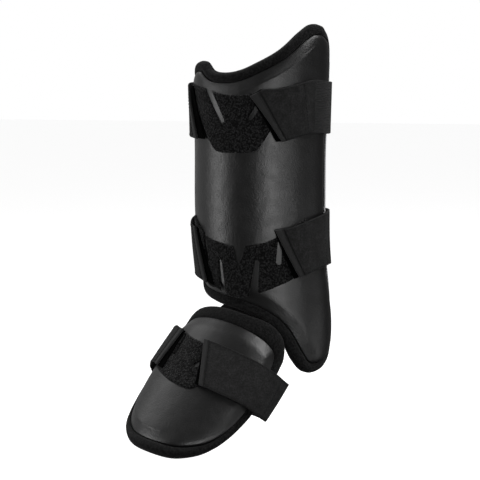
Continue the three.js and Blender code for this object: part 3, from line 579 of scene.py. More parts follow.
def turn_out(mesh):
    """Turns a closed mesh's faces to point out of it."""
    mesh.calc_loop_triangles()
    triangles = np.zeros(len(mesh.loop_triangles) * 3, int)
    mesh.loop_triangles.foreach_get("vertices", triangles)
    points = np.zeros(len(mesh.vertices) * 3)
    mesh.vertices.foreach_get("co", points)
    p, q, r = points.reshape(-1, 3)[triangles.reshape(-1, 3)].transpose(1, 0, 2)
    if (p * np.cross(q, r)).sum() < 0:
        mesh.flip_normals()


def slab(name, guard, loop, insets, low, high, material):
    """A wall inside an outline: rings at the given insets, eased once for each millimetre, and a grid within
    the last. low is how far out its inner face is, and high says it of the outer, at a depth and place."""
    rings = [softened(inset(loop, depth), round(depth / MM)) for depth in insets]
    middle, index = grid_inside(rings[-1], guard.columns, guard.rows)
    count = len(loop)
    flat = np.concatenate([*rings, middle])
    depth = np.concatenate([np.repeat(insets, count), np.full(len(middle), insets[-1])])
    place = np.concatenate([np.tile(np.arange(count), len(rings)), np.full(len(middle), -1)])
    ring_index = np.arange(len(rings) * count).reshape(len(rings), count)
    ring_index = np.concatenate([ring_index, ring_index[:, :1]], 1)
    faces = np.concatenate([grid_quads(ring_index.T), grid_quads(index + (len(rings) - 1) * count)])
    faces = consistent(faces, flat)
    half = len(flat)
    edge = np.arange(count)
    after = np.roll(edge, -1)
    sides = np.stack([edge, after, after + half, edge + half], 1)
    back = guard.place(*flat.T, low)
    front = guard.place(*flat.T, high(depth, place))
    vertices = np.concatenate([back, front])
    quads = np.concatenate([faces[:, ::-1], faces + half, sides])
    return add_piece(name, vertices, quads, np.concatenate([flat, flat]), material)


def consistent(faces, flat):
    """Faces of a flat mesh, all turned anticlockwise."""
    a, b, c = [flat[faces[:, k]] for k in (0, 1, 2)]
    turn = (b - a)[:, 0] * (c - b)[:, 1] - (b - a)[:, 1] * (c - b)[:, 0]
    return np.where(turn[:, None] < 0, faces[:, ::-1], faces)


def effect(rows, normals, angle):
    """How far an outline's places show an effect, from 0 to 1."""
    up = normals[:, 1]
    return sum(ease(way * up, low, full) * between(angle, *span) for way, low, full, *span in rows)


def guard_of(rows, grid, edges, **frame):
    """A guard: its outline, the line that its binding reaches in to, how far each place is rear edge, how
    creased and how plain the shell is there, and how full its binding. frame says how it is placed."""
    guard = SimpleNamespace(columns=grid[0], rows=grid[1], **frame)

    def lines(fineness):
        arcs = np.radians(rows["angle"]) * guard.radius
        points = np.stack([arcs, guard.sign * rows[guard.key] * guard.length], 1)
        loop = outline(points, np.flatnonzero(rows["corner"]), grid[0] * fineness, grid[1] * fineness)
        normals = outward(loop)
        angle = np.degrees(loop[:, 0] / guard.radius)
        rear = guard.rear_edges * np.maximum(0, normals[:, 0] * np.sign(loop[:, 0]))
        narrow = ease(rear, *BINDING_NARROWS)
        width = mix(BINDING_WIDTH, PIPING_WIDTH, narrow)
        width = width + (guard.ankle_width - BINDING_WIDTH) * ease(normals[:, 1], *ANKLE_BINDING_WIDENS)
        spread = EDGE_CHANGE * fineness
        inner = inset(loop, evened(width, spread))
        return SimpleNamespace(
            loop=loop, rear=rear, inner=softened(inner, BEND_PASSES * fineness**2),
            crease=evened(effect(edges.crease, normals, angle), spread),
            plain=evened(np.maximum(narrow, effect(edges.plain, normals, angle)), spread),
            fullness=effect(edges.fullness, normals, angle),
        )

    guard.coarse = lines(1)
    guard.fine = lines(RIM_FINENESS)
    return guard


shin = guard_of(
    SHIN_OUTLINE, SHIN_GRID, SHIN_EDGES, key="height", sign=1, length=SHIN_LENGTH, radius=SHIN_RADIUS,
    place=on_shin, strap_turns=SHIN_STRAP_TURNS, rear_edges=1, ankle_width=BINDING_WIDTH,
)
foot = guard_of(
    FOOT_OUTLINE, FOOT_GRID, FOOT_EDGES, key="place", sign=-1, length=FOOT_LENGTH, radius=FOOT_RADIUS,
    place=on_foot, strap_turns=FOOT_STRAP_TURNS, rear_edges=0, ankle_width=ANKLE_BINDING_WIDTH,
)


class Nodes:
    """A node tree, made by short calls."""

    def __init__(self, tree):
        self.tree = tree

    def node(self, kind, **inputs):
        made = self.tree.nodes.new(kind)
        for socket, value in inputs.items():
            self.feed(made.inputs[socket], value)
        return made

    def feed(self, socket, value):
        if isinstance(value, bpy.types.NodeSocket):
            self.tree.links.new(value, socket)
        else:
            socket.default_value = value

    def math(self, operation, a, b=0.0):
        made = self.node("ShaderNodeMath")
        made.operation = operation
        self.feed(made.inputs[0], a)
        self.feed(made.inputs[1], b)
        return made.outputs["Value"]

    def spread(self, value, low, high, to_low, to_high):
        """Takes low to to_low and high to to_high, straight between."""
        made = self.node("ShaderNodeMapRange", Value=value)
        sockets = {"From Min": low, "From Max": high, "To Min": to_low, "To Max": to_high}
        for socket, number in sockets.items():
            made.inputs[socket].default_value = number
        return made.outputs["Result"]


class Shader(Nodes):
    """A material with a row's values of SURFACES. Coordinates and sizes are in millimetres."""

    def __init__(self, name):
        self.material = bpy.data.materials.new(name)
        self.material.use_nodes = True
        super().__init__(self.material.node_tree)
        self.surface = self.tree.nodes["Principled BSDF"]
        self.dark, self.light, *values = SURFACES[name]
        for socket, value in zip(("Roughness", "Sheen Weight", "Specular IOR Level"), values):
            self.surface.inputs[socket].default_value = value
        self.object_mm = self.scaled(self.node("ShaderNodeTexCoord").outputs["Object"])

    def scaled(self, vector):
        made = self.node("ShaderNodeVectorMath", Vector=vector)
        made.operation = "SCALE"
        made.inputs["Scale"].default_value = 1 / MM
        return made.outputs["Vector"]

    def weave(self):
        """The coordinates along and across the weave."""
        made = self.node("ShaderNodeUVMap")
        made.uv_map = "weave"
        return self.node("ShaderNodeSeparateXYZ", Vector=self.scaled(made.outputs["UV"])).outputs[:2]

    def ribs(self, coordinate, pitch, phase=0.0):
        """Rounded ribs, from 0 to 1, across a coordinate."""
        angle = self.math("MULTIPLY", coordinate, math.pi / pitch)
        return self.math("ABSOLUTE", self.math("SINE", self.math("ADD", angle, phase)))

    def noise(self, size, detail):
        """Clouds of a size."""
        made = self.node("ShaderNodeTexNoise", Vector=self.object_mm, Scale=1 / size, Detail=detail)
        return made.outputs["Fac"]

    def cells(self, size, feature):
        """Distance from the middle of cells of a size."""
        made = self.node("ShaderNodeTexVoronoi", Vector=self.object_mm, Scale=1 / size)
        made.feature = feature
        return made.outputs["Distance"]

    def dye(self, share, cast=BLUE_CAST):
        """Colours the surface from the material's first grey to its second."""
        made = self.node("ShaderNodeMix")
        made.data_type = "RGBA"
        self.feed(made.inputs["Factor"], share)
        for socket, level in ((6, self.dark), (7, self.light)):
            made.inputs[socket].default_value = (level, level, level * cast, 1)
        self.feed(self.surface.inputs["Base Color"], made.outputs[2])

    def bump(self, height, depth, strength):
        """Raises the surface by height times depth millimetres, over any bump before it."""
        made = self.node("ShaderNodeBump", Height=height, Strength=strength, Distance=depth * MM)
        normal = self.surface.inputs["Normal"]
        if normal.is_linked:
            self.tree.links.new(normal.links[0].from_socket, made.inputs["Normal"])
        self.tree.links.new(made.outputs["Normal"], normal)


def painted(paint):
    """The material that a function paints, with the function's name. It takes the function's place."""
    shader = Shader(paint.__name__.lower())
    paint(shader)
    return shader.material


@painted
def LEATHER(shader):
    """Satin synthetic leather: fine pebbled grain, slow changes of gloss."""
    shader.dye(shader.noise(28, 2))
    gloss = shader.spread(shader.noise(9, 4), 0.3, 0.7, *LEATHER_ROUGHNESS)
    shader.feed(shader.surface.inputs["Roughness"], gloss)
    shader.bump(shader.spread(shader.cells(1.1, "SMOOTH_F1"), 0.1, 0.75, 1, 0), 0.13, 0.7)
    shader.bump(shader.noise(2.6, 3), 0.22, 0.5)
    shader.bump(shader.noise(15, 2), 1.1, 0.35)


@painted
def KNIT(shader):
    """Matt knit band: small stitches in slanting rows, under a loose grain."""
    along, around = shader.weave()
    slant = shader.math("ADD", along, shader.math("MULTIPLY", around, 0.6))
    loops = shader.math("MULTIPLY", shader.ribs(slant, 0.9), shader.ribs(around, 0.7))
    grain = shader.noise(1.7, 2)
    lit = shader.math("MULTIPLY", grain, shader.spread(loops, 0, 1, 0.85, 1.1))
    shader.dye(shader.spread(lit, 0.38, 0.6, 0, 1))
    shader.bump(loops, 0.12, 0.7)
    shader.bump(grain, 0.7, 0.6)


@painted
def MESH(shader):
    """Grey spacer mesh: rows of small round holes between ribs."""
    along, up = shader.weave()
    holes = shader.math("MULTIPLY", shader.ribs(along, 2.2), shader.ribs(up, 2.6))
    open_mesh = shader.spread(holes, 0.45, 0.8, 0, 1)
    shader.dye(open_mesh)
    shader.bump(open_mesh, -0.7, 0.9)
    shader.bump(shader.noise(0.5, 3), 0.2, 0.5)


@painted
def LOOP(shader):
    """Loop pile: a tangle of short threads, with a painted highlight on the tops of its tufts and painted
    shade between them.
    """
    shader.surface.inputs["Sheen Roughness"].default_value = LOOP_SHEEN_ROUGHNESS
    tangle = shader.noise(1.5, 3)
    tufts = shader.cells(1.9, "F1")
    # The colour follows the pile's height: a painted highlight on the tufts' tops and painted shade in the
    # hollows.
    lit = shader.math("SUBTRACT", tangle, shader.math("MULTIPLY", tufts, 0.4))
    shader.dye(shader.math("POWER", shader.spread(lit, 0.12, 0.42, 0, 1), 2.2))
    shader.bump(tangle, 1.4, 0.9)
    shader.bump(tufts, -0.8, 0.6)


@painted
def HOOK(shader):
    """Hook fastener: dark, in fine rows."""
    along, across = shader.weave()
    rows = shader.math("MULTIPLY", shader.ribs(along, 1.3), shader.ribs(across, 1.1))
    shader.dye(rows)
    shader.bump(rows, 0.4, 0.8)


@painted
def WEBBING(shader):
    """Woven strap end: a close plain weave, with the sunk seam of its folded border, darkened by painted
    shade.
    """
    along, across = shader.weave()
    weave = shader.math("MAXIMUM", shader.ribs(along, 0.85), shader.ribs(across, 0.7, math.pi / 4))
    rubbed = shader.spread(shader.noise(1.4, 2), 0.35, 0.65, 0.5, 1.5)
    wear = shader.math("MULTIPLY", shader.noise(6, 4), rubbed)
    from_seam = shader.math("ABSOLUTE", shader.math("SUBTRACT", along, TAB_BORDER / MM + SEAM_OFF))
    # The colour is darker in the seam's sunk groove: painted shade.
    seam_groove_and_shade = shader.spread(from_seam, 0.3, 1.0, 0.05, 1)
    shader.dye(shader.math("MULTIPLY", wear, seam_groove_and_shade))
    shader.bump(seam_groove_and_shade, 0.5, 0.6)
    shader.bump(weave, 0.16, 0.7)
    shader.bump(shader.noise(0.4, 2), 0.12, 0.4)


@painted
def BORDER(shader):
    """The tape round a strap end's edge, a little smoother and lighter than the strap."""
    along, across = shader.weave()
    slant = shader.ribs(shader.math("ADD", along, across), 0.9)
    shader.dye(slant)
    shader.bump(slant, 0.1, 0.6)


@painted
def ELASTIC(shader):
    """Elastic: lengthwise ribs crossed by fine threads."""
    along, across = shader.weave()
    ribs = shader.ribs(across, 1.6)
    shader.dye(ribs)
    shader.bump(ribs, 0.35, 0.8)
    shader.bump(shader.ribs(along, 0.6), 0.12, 0.5)


@painted
def THREAD(shader):
    """Sewing thread, with its twist."""
    twist = shader.noise(0.3, 2)
    shader.dye(twist)
    shader.bump(twist, 0.08, 0.5)


shell_walls = [column(SHELL_PROFILE, "depth", edge) for edge in ("soft", "creased", "plain")]


def shell(name, guard):
    """Leather over moulded foam: a plain or bevelled edge, in places with a crease, runs up to the face."""
    edge = inset(guard.coarse.inner, GAP)

    def high(depth, place):
        soft, creased, plain = [wall(depth / MM) for wall in shell_walls]
        bevelled = mix(soft, creased, guard.coarse.crease[place])
        return SHELL_IN + SHELL_WALL * mix(bevelled, plain, guard.coarse.plain[place])

    piece = slab(name, guard, edge, SHELL_PROFILE["depth"] * MM, SHELL_IN, high, LEATHER)


def binding_lift(rear):
    """How far the binding has lifted off the leg and onto the shell, from 0 to 1."""
    return ease(rear, *BINDING_LIFTS)


def where_settled(values, reach):
    """1 where a value is 1 for some places to either side round an outline, and 0 elsewhere."""
    return np.min([np.roll(values, step) for step in range(-reach, reach + 1)], 0) == 1


def liner(name, guard):
    """Padded mesh. Along a rear edge it runs on behind the binding as a soft roll."""
    lines = guard.coarse
    settle = guard.columns // SETTLE_SHARE
    clear = where_settled(binding_lift(lines.rear), settle)
    reach = clear * ease(lines.rear, *LINER_REACHES)
    swell = where_settled(reach, settle) * ease(lines.rear, *LINER_SWELLS)
    edge = inset(lines.inner, GAP)
    rolled = inset(lines.loop, -REAR_ROLL_WIDTH)
    loop = mix(edge, rolled, reach[:, None])
    roll_end = REAR_ROLL_WIDTH - PIPING_WIDTH / 2
    insets = np.array(ROLL_RINGS) * roll_end if reach.max() > 0 else np.array([0, LINER_RIM])

    def high(depth, place):
        on_ring = place >= 0
        share = np.where(on_ring & (depth < roll_end), swell[place], 0)
        crown = np.sqrt(np.clip(1 - (2 * depth / roll_end - 1) ** 2, LOWEST_CROWN, 1))
        return mix(LINER_WALL, REAR_ROLL_WALL * mix(ROLL_SIDE, 1, crown), share)

    piece = slab(name, guard, loop, insets, 0, high, MESH)


def around_quads(columns, ring):
    """Quads of a closed tube: vertex numbers, and the unwrapped column and ring step of each corner."""
    i, k = np.meshgrid(np.arange(columns), np.arange(ring), indexing="ij")
    steps = [(i, k), (i + 1, k), (i + 1, k + 1), (i, k + 1)]
    faces = np.stack([(p % columns) * ring + q % ring for p, q in steps], -1).reshape(-1, 4)
    unwrapped = np.stack([np.stack(step, -1) for step in steps], 2).reshape(-1, 2)
    return faces, unwrapped


def running(points):
    """Lengths along points, from the first and back to it."""
    return np.concatenate([[0], np.cumsum(np.linalg.norm(np.roll(points, -1, 0) - points, axis=1))])


def binding(name, guard):
    """Knit band: a soft roll in section, tucked in under the leather's edge."""
    lines = guard.fine
    lift = binding_lift(lines.rear)[:, None]
    share, rise = BINDING_PROFILE["share"], BINDING_PROFILE["rise"]
    low = lift * SHELL_IN
    out = low + (BINDING_OUT - low) * rise
    reach = (lines.loop - lines.inner) * (1 + FULLNESS * lines.fullness[:, None])
    flat = lines.inner[:, None] + reach[:, None] * share[:, None]
    flat = flat - outward(lines.inner)[:, None] * BINDING_PROFILE["tuck"][:, None] * MM
    vertices = guard.place(flat[..., 0], flat[..., 1], out)
    columns, ring = vertices.shape[:2]
    faces, steps = around_quads(columns, ring)
    along = running(lines.loop)
    around = running(vertices[0])
    uv = np.stack([along[steps[:, 0]], around[steps[:, 1]]], 1)
    piece = add_piece(name, vertices.reshape(-1, 3), faces, uv, KNIT, sharp=60)


def slot_outline(guard, slots, n):
    """One slot's outline on the flat: straight sides and a round end."""
    ends = []
    for end in ("from", "to"):
        angle = math.radians(slots[f"{end}_angle"][n]) * guard.radius
        ends.append(np.array([angle, guard.sign * slots[f"{end}_{guard.key}"][n] * guard.length]))
    along = unit(ends[1] - ends[0])
    side = np.array([-along[1], along[0]])
    wide, narrow = slots["wide"][n] * MM / 2, slots["narrow"][n] * MM / 2
    turn = np.linspace(math.pi / 2, -math.pi / 2, SLOT_ARC_STEPS)[:, None]
    tip = ends[1] + (along * np.cos(turn) + side * np.sin(turn)) * narrow
    return np.concatenate([[ends[0] + side * wide], tip, [ends[0] - side * wide]])


def inside(points, polygon):
    """Which points lie inside a polygon."""
    a, b = polygon, np.roll(polygon, -1, 0)
    x, y = points[:, :1], points[:, 1:]
    crosses = (a[:, 1] > y) != (b[:, 1] > y)
    with np.errstate(divide="ignore", invalid="ignore"):
        meets = (b[:, 0] - a[:, 0]) * (y - a[:, 1]) / (b[:, 1] - a[:, 1]) + a[:, 0]
    return (crosses & (x < meets)).sum(1) % 2 == 1


def edge_distance(points, polygon):
    """Each point's distance from a polygon's sides."""
    a, b = polygon, np.roll(polygon, -1, 0)
    side = b - a
    share = ((points[:, None] - a) * side).sum(2) / np.maximum((side**2).sum(1), TINY)
    nearest = a + side * np.clip(share, 0, 1)[..., None]
    return np.linalg.norm(points[:, None] - nearest, axis=2).min(1)


def within(points, rim, cuts):
    """Which points lie inside a rim and outside all of its cuts."""
    return inside(points, rim) & ~np.any([inside(points, cut) for cut in cuts], 0)


def patch(name, guard, rows, slots):
    """Loop patch: cut round its edge and slots, with a soft rounded edge and a tufted top."""
    angles = np.linspace(rows["angle"].min(), rows["angle"].max(), PATCH_RIM_STEPS)
    arcs = np.radians(angles) * guard.radius
    scale = guard.length * guard.sign
    bottom, top = [column(rows, "angle", side)(angles) * scale for side in ("bottom", "top")]
    rim = np.concatenate([np.stack([arcs, bottom], 1), np.stack([arcs, top], 1)[::-1]])
    cuts = [slot_outline(guard, slots, n) for n in range(len(slots["wide"]))]
    polygons = [rim, *cuts]

    def from_edges(points):
        return np.min([edge_distance(points, polygon) for polygon in polygons], 0)

    low, high = rim.min(0), rim.max(0)
    x, y = np.meshgrid(
        np.arange(low[0], high[0], PATCH_POINTS), np.arange(low[1], high[1], PATCH_POINTS * math.sqrt(0.75))
    )
    x = x + (np.arange(len(x)) % 2)[:, None] * PATCH_POINTS / 2
    fill = np.stack([x.ravel(), y.ravel()], 1)
    fill = fill[within(fill, rim, cuts) & (from_edges(fill) > PATCH_POINTS / 2)]
    edges, start = [], 0
    for polygon in polygons:
        end = start + len(polygon)
        edges += [(n, n + 1 if n + 1 < end else start) for n in range(start, end)]
        start = end
    points = np.concatenate([*polygons, fill])
    made = delaunay_2d_cdt([Vector(point) for point in points / MM], edges, [], 0, WELD)
    flat = np.array([tuple(point) for point in made[0]]) * MM
    faces = np.array(made[2])
    faces = faces[within(flat[faces].mean(1), rim, cuts)]
    used, faces = np.unique(faces, return_inverse=True)
    faces = faces.reshape(-1, 3)
    flat = flat[used]
    pile = np.sqrt(np.clip(1 - (1 - np.clip(from_edges(flat) / PATCH_ROUND, 0, 1)) ** 2, 0, 1))
    tufts = np.random.default_rng(TUFT_SEED).uniform(*TUFTS, len(flat)) * MM
    rise = PATCH_WALL * mix(*PATCH_PILE, pile) + tufts * pile
    front = guard.place(*flat.T, PATCH_IN + rise)
    back = guard.place(*flat.T, PATCH_IN - PATCH_SINK)
    half = len(flat)
    sides = open_edges(faces)
    walls = np.stack([sides[:, 1], sides[:, 0], sides[:, 0] + half, sides[:, 1] + half], 1)
    all_faces = [*(faces + half).tolist(), *faces[:, ::-1].tolist(), *walls[:, ::-1].tolist()]
    uv = np.concatenate([flat, flat])
    add_piece(name, np.concatenate([back, front]), all_faces, uv, LOOP, sharp=70)


def open_edges(faces):
    """The directed edges of a flat mesh that have a face on one side only."""
    directed = np.concatenate([faces[:, [0, 1]], faces[:, [1, 2]], faces[:, [2, 0]]])
    known = {tuple(edge) for edge in directed.tolist()}
    return np.array([edge for edge in directed.tolist() if (edge[1], edge[0]) not in known])


def strap_layers(guard):
    """How far out a strap's elastic, tab and hook lie at an angle round a guard."""
    edge, behind = guard.strap_turns.edge, guard.strap_turns.behind

    def from_front(angle):
        return np.minimum(angle, FULL_TURN - angle)

    def elastic(angle):
        a = from_front(angle)
        on_edge = mix(FACE_STRAP_IN, EDGE_STRAP_IN, ease(a, edge - CLIMB_ANGLE, edge))
        return mix(on_edge, BACK_STRAP_IN, ease(a, behind, behind + 2 * CLIMB_ANGLE))

    def tab(angle):
        off_patch = ease(from_front(angle), PATCH_LIMIT - CLIMB_ANGLE, PATCH_LIMIT)
        return mix(TAB_IN, elastic(angle) + ELASTIC_WALL + GAP, off_patch)

    return SimpleNamespace(elastic=elastic, tab=tab, hook=lambda angle: HOOK_IN)


def strip_of(guard, line, width, start, end, layer, thickness, cut=0):
    """A strap's piece over a guard."""
    centre = column(line, "angle", guard.key)

    def point(s, t, out):
        """A point at share s from the start end, share t up the width, and out from the inner face."""
        angle = mix(mix(start[0], start[1], t), end, s)
        middle = centre(angle) * guard.length * guard.sign
        across = (t - 0.5) * width - cut * MM * t**2 * np.maximum(0, 1 - s / CUT_LENGTH)
        return guard.place(np.radians(angle) * guard.radius, middle + across, layer(angle) + out)

    reach = math.radians(abs(end - np.mean(start))) * guard.radius
    return SimpleNamespace(width=width, reach=reach, thickness=thickness, point=point)


def two_sided(name, inner, outer, uv, material, slot, sharp):
    """A closed piece between two grids of points. uv is for one of them."""
    m, n = inner.shape[:2]
    index = np.arange(m * n).reshape(m, n)
    rim = np.concatenate([index[:, 0], index[-1, 1:], index[-2::-1, -1], index[0, -2:0:-1]])
    after = np.roll(rim, -1)
    sides = np.stack([rim, after, after + m * n, rim + m * n], 1)
    faces = np.concatenate([grid_quads(index)[:, ::-1], grid_quads(index) + m * n, sides])
    vertices = np.concatenate([inner.reshape(-1, 3), outer.reshape(-1, 3)])
    return add_piece(name, vertices, faces, np.concatenate([uv, uv]), material, sharp)


def pillow(name, strip, relief, material, slot):
    """A strap's piece as a closed skin with rounded edges. relief, at a distance from the start, adds to its
    outer face."""
    rounding = np.array(ROUND_STEPS) * STRAP_ROUND

    def places(length):
        middle = np.arange(rounding[-1], length - rounding[-1], STRAP_STEP)[1:]
        return np.concatenate([rounding, middle, length - rounding[::-1]])

    u, v = np.meshgrid(places(strip.reach), places(strip.width), indexing="ij")
    margin = np.minimum.reduce([u, strip.reach - u, v, strip.width - v])
    shape = np.sqrt(np.clip(1 - (1 - np.clip(margin / STRAP_ROUND, 0, 1)) ** 2, THINNEST_EDGE, 1))
    s, t = u / strip.reach, v / strip.width
    half = strip.thickness / 2
    outer = strip.point(s, t, half + half * shape + relief(u) * shape)
    inner = strip.point(s, t, half - half * shape)
    uv = np.stack([u.ravel(), v.ravel()], 1)
    return two_sided(name, inner, outer, uv, material, slot, sharp=75)


def stitches(name, strip, rows):
    """Sewn rows on a tab. Each row runs between two places, as (from the start, from the lower edge)."""
    starts, ends, outs = [], [], []
    for (u0, v0), (u1, v1) in rows:
        length = math.hypot(u1 - u0, v1 - v0)
        count = int(length / STITCH_PITCH)
        shares = (np.arange(count) + 0.5) / count
        half = STITCH_LENGTH / 2 / length
        for sign, found in ((-1, starts), (1, ends)):
            u, v = mix(u0, u1, shares + sign * half), mix(v0, v1, shares + sign * half)
            rise = strip.thickness + tab_relief(u)
            found.append(strip.point(u / strip.reach, v / strip.width, rise))
        outs.append(unit(strip.point(u / strip.reach, v / strip.width, rise + MM) - ends[-1]))
    start, end, normal = np.concatenate(starts), np.concatenate(ends), np.concatenate(outs)
    side = np.cross(unit(end - start), normal)
    shares = STITCH_PROFILE["share"][:, None]
    lifts = STITCH_PROFILE["lift"][:, None] * STITCH_RADIUS
    widths = STITCH_PROFILE["width"][:, None, None] * STITCH_RADIUS
    turn = np.arange(STITCH_SIDES) * 2 * math.pi / STITCH_SIDES
    centre = start[:, None] + (end - start)[:, None] * shares + normal[:, None] * lifts
    ring = np.cos(turn)[:, None] * side[:, None, None] + np.sin(turn)[:, None] * normal[:, None, None]
    vertices = centre[:, :, None] + ring * widths
    index = np.arange(vertices.size // 3).reshape(vertices.shape[:3])
    turned = np.roll(index, -1, 2)
    quads = np.stack([index[:, :-1], index[:, 1:], turned[:, 1:], turned[:, :-1]], -1).reshape(-1, 4)
    caps = [*index[:, 0, :].tolist(), *index[:, -1, ::-1].tolist()]
    vertices = vertices.reshape(-1, 3)
    faces = [*quads.tolist(), *caps]
    add_piece(name, vertices, faces, vertices[:, :2], THREAD, sharp=60, added=True)


def tab_relief(u):
    """A folded border along the tab's end, and the grooves that sew it down."""
    relief = BORDER_RISE * (1 - ease(u, TAB_BORDER - BORDER_STEP, TAB_BORDER))
    for depth, place, width in GROOVES:
        relief = relief - depth * MM * np.exp(-(((u - TAB_BORDER - place * MM) / (width * MM)) ** 2))
    return relief


def strap(name, guard, line, width, ends):
    layers = strap_layers(guard)
    outer, inner = ends.outer_tab, ends.inner_tab
    outer_start, inner_start = np.array(outer[:2]), np.array(inner[:2])
    reveal = np.degrees(HOOK_REVEAL / guard.radius) * np.array([1, TOP_REVEAL])
    outer_end = min(ends.elastic[0] - HOOK_CLEARANCE, PATCH_LIMIT - CLIMB_ANGLE)
    inner_end = FULL_TURN - PATCH_LIMIT + CLIMB_ANGLE
    hidden_start = np.maximum(inner_start + 2 * reveal, inner_end + SHORTEST_HOOK)
    tabs = (("outer", outer_start, outer[2], ends.cut), ("inner", inner_start, inner[2], 0))
    for part, start, end, cut in tabs:
        tab_name = f"{name}_{part}_tab"
        tab = strip_of(guard, line, width, start, end, layers.tab, TAB_WALL, cut)
        piece = pillow(tab_name, tab, tab_relief, WEBBING, "webbing")
        piece.data.materials.append(BORDER)
        paint_border(piece)
        low, high = EDGE_ROW, width - EDGE_ROW
        first, lap, last = TAB_BORDER + BORDER_ROW, tab.reach - LAP_ROW, tab.reach - LAST_ROW
        rows = [((first, low), (first, high)), ((first, low), (last, low)), ((first, high), (last, high))]
        rows += [((lap, low), (lap, high)), ((last, low), (last, high))]
        stitches(f"{tab_name}_stitches", tab, rows)
    hooks = (("outer", outer_start - reveal, outer_end, ends.cut), ("inner", hidden_start, inner_end, 0))
    for part, start, end, cut in hooks:
        hook = strip_of(guard, line, width - 2 * GAP, start, end, layers.hook, HOOK_WALL, cut)
        pillow(f"{name}_{part}_hook", hook, np.zeros_like, HOOK, "hook")
    start, end = ends.elastic
    elastic = strip_of(guard, line, width, (start, start), end, layers.elastic, ELASTIC_WALL)
    pillow(f"{name}_elastic", elastic, np.zeros_like, ELASTIC, "elastic")


def paint_border(piece):
    """Gives the faces of a tab's folded border their own material."""
    mesh = piece.data
    uv = np.zeros(len(mesh.loops) * 2)
    mesh.uv_layers["weave"].data.foreach_get("uv", uv)
    first = np.zeros(len(mesh.polygons), int)
    mesh.polygons.foreach_get("loop_start", first)
    along = uv.reshape(-1, 2)[:, 0]
    reach = np.maximum.reduce([along[first + k] for k in range(4)])
    mesh.polygons.foreach_set("material_index", (reach < TAB_BORDER).astype(int))


def ankle_hinge():
    """Fabric that joins the two linings on the inside."""
    shin_edge = shin.coarse.loop[: shin.columns + 1]
    start = foot.columns + foot.rows
    foot_edge = foot.coarse.loop[start : start + foot.columns + 1][::-1]
    rows, columns = HINGE_STEPS
    arc = np.linspace(-0.5, 0.5, columns) * HINGE_WIDTH
    lap = np.linspace(1, 0, rows)[:, None] * HINGE_LAP
    sheets = []
    for out in (-GAP, -GAP - HINGE_WALL):
        upper = on_shin(arc, np.interp(arc, *shin_edge.T) + lap, out)
        lower = on_foot(arc, np.interp(arc, *foot_edge.T) - lap[::-1], out)
        sheets.append(np.concatenate([upper, lower]))
    across, down = np.meshgrid(arc, np.linspace(0, 2 * HINGE_LAP, 2 * rows))
    uv = np.stack([across.ravel(), down.ravel()], 1)
    two_sided("ankle_hinge", *sheets, uv, KNIT, "knit", sharp=60)


for name, guard in (("shin", shin), ("foot", foot)):
    shell(f"{name}_shell", guard)
    liner(f"{name}_liner", guard)
    binding(f"{name}_binding", guard)
patch("upper_loop_patch", shin, UPPER_PATCH, UPPER_SLOTS)
patch("lower_loop_patch", shin, LOWER_PATCH, LOWER_SLOTS)
patch("foot_loop_patch", foot, FOOT_PATCH, FOOT_SLOTS)
strap("upper_strap", shin, UPPER_STRAP_LINE, SHIN_STRAP_WIDTH, UPPER_ENDS)
strap("lower_strap", shin, LOWER_STRAP_LINE, SHIN_STRAP_WIDTH, LOWER_ENDS)
strap("foot_strap", foot, FOOT_STRAP_LINE, FOOT_STRAP_WIDTH, FOOT_ENDS)
ankle_hinge()


def direction(azimuth, elevation):
    a, e = math.radians(azimuth), math.radians(elevation)
    return Vector((math.sin(a) * math.cos(e), -math.cos(a) * math.cos(e), math.sin(e)))


def aim(item, middle, azimuth, elevation, distance):
    """Puts an item at a distance from a middle, turned to face it."""
    towards = direction(azimuth, elevation)
    item.location = middle + towards * distance
    item.rotation_euler = towards.to_track_quat("Z", "Y").to_euler()


def add_camera():
    data = bpy.data.cameras.new("camera")
    data.angle = 2 * math.atan(VIEW_HEIGHT / 2 / CAMERA_DISTANCE)
    camera = link("camera", data)
    middle = direction(CAMERA_AZIMUTH + 90, 0) * VIEW_SIDE + Vector((0, 0, VIEW_MIDDLE))
    aim(camera, middle, CAMERA_AZIMUTH, CAMERA_ELEVATION, CAMERA_DISTANCE)
    bpy.context.scene.camera = camera


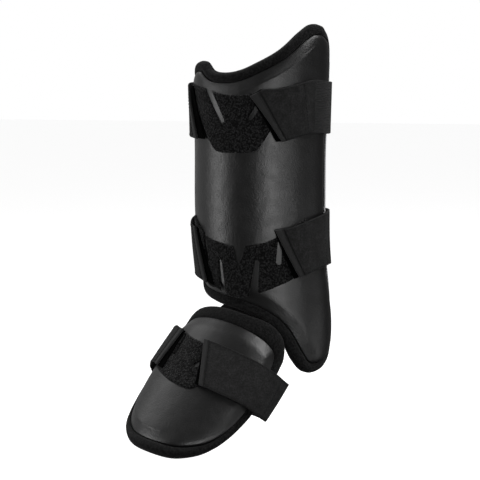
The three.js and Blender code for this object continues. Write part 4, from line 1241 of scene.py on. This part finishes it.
def add_softbox(name, azimuth, elevation, distance, width, height, watts):
    data = bpy.data.lights.new(name, "AREA")
    data.shape = "RECTANGLE"
    data.size, data.size_y = width, height
    data.energy = watts
    aim(link(name, data), Vector((0, 0, VIEW_MIDDLE)), CAMERA_AZIMUTH + azimuth, elevation, distance)


def add_floor():
    low = cad_box[0].z - FLOOR_DROP
    mesh = bpy.data.meshes.new("floor")
    corners = [(x * FLOOR_HALF, y * FLOOR_HALF, low) for x, y in ((-1, -1), (1, -1), (1, 1), (-1, 1))]
    mesh.from_pydata(corners, [], [(0, 1, 2, 3)])
    shader = Shader("floor")
    shader.dye(shader.noise(200, 2), cast=1)
    shader.surface.inputs["Emission Color"].default_value = (1, 1, 1, 1)
    shader.surface.inputs["Emission Strength"].default_value = FLOOR_GLOW
    mesh.materials.append(shader.material)
    floor = link("floor", mesh)
    floor.visible_glossy = False
    floor.visible_diffuse = False


def add_world():
    """A pale surround that lights the guard from behind on the left and is dim elsewhere."""
    world = bpy.data.worlds.new("world")
    world.use_nodes = True
    nodes = Nodes(world.node_tree)
    coordinates = nodes.node("ShaderNodeTexCoord")
    facing = nodes.node("ShaderNodeVectorMath")
    facing.operation = "DOT_PRODUCT"
    nodes.feed(facing.inputs[0], coordinates.outputs["Generated"])
    nodes.feed(facing.inputs[1], direction(CAMERA_AZIMUTH + BACK_LIGHT_AZIMUTH, BACK_LIGHT_ELEVATION))
    light = nodes.spread(facing.outputs["Value"], 0, BACK_LIGHT_FULL, FRONT_LIGHT, BACK_LIGHT)
    seen = nodes.node("ShaderNodeLightPath").outputs["Is Camera Ray"]
    strength = nodes.node("ShaderNodeMix", Factor=seen, A=light, B=BACKGROUND_LIGHT)
    background = nodes.tree.nodes["Background"]
    background.inputs["Color"].default_value = (1, 1, 1, 1)
    nodes.feed(background.inputs["Strength"], strength.outputs["Result"])
    bpy.context.scene.world = world


add_camera()
for row in SOFTBOXES:
    add_softbox(*row)
add_floor()
add_world()
bpy.context.scene.view_settings.view_transform = "Standard"
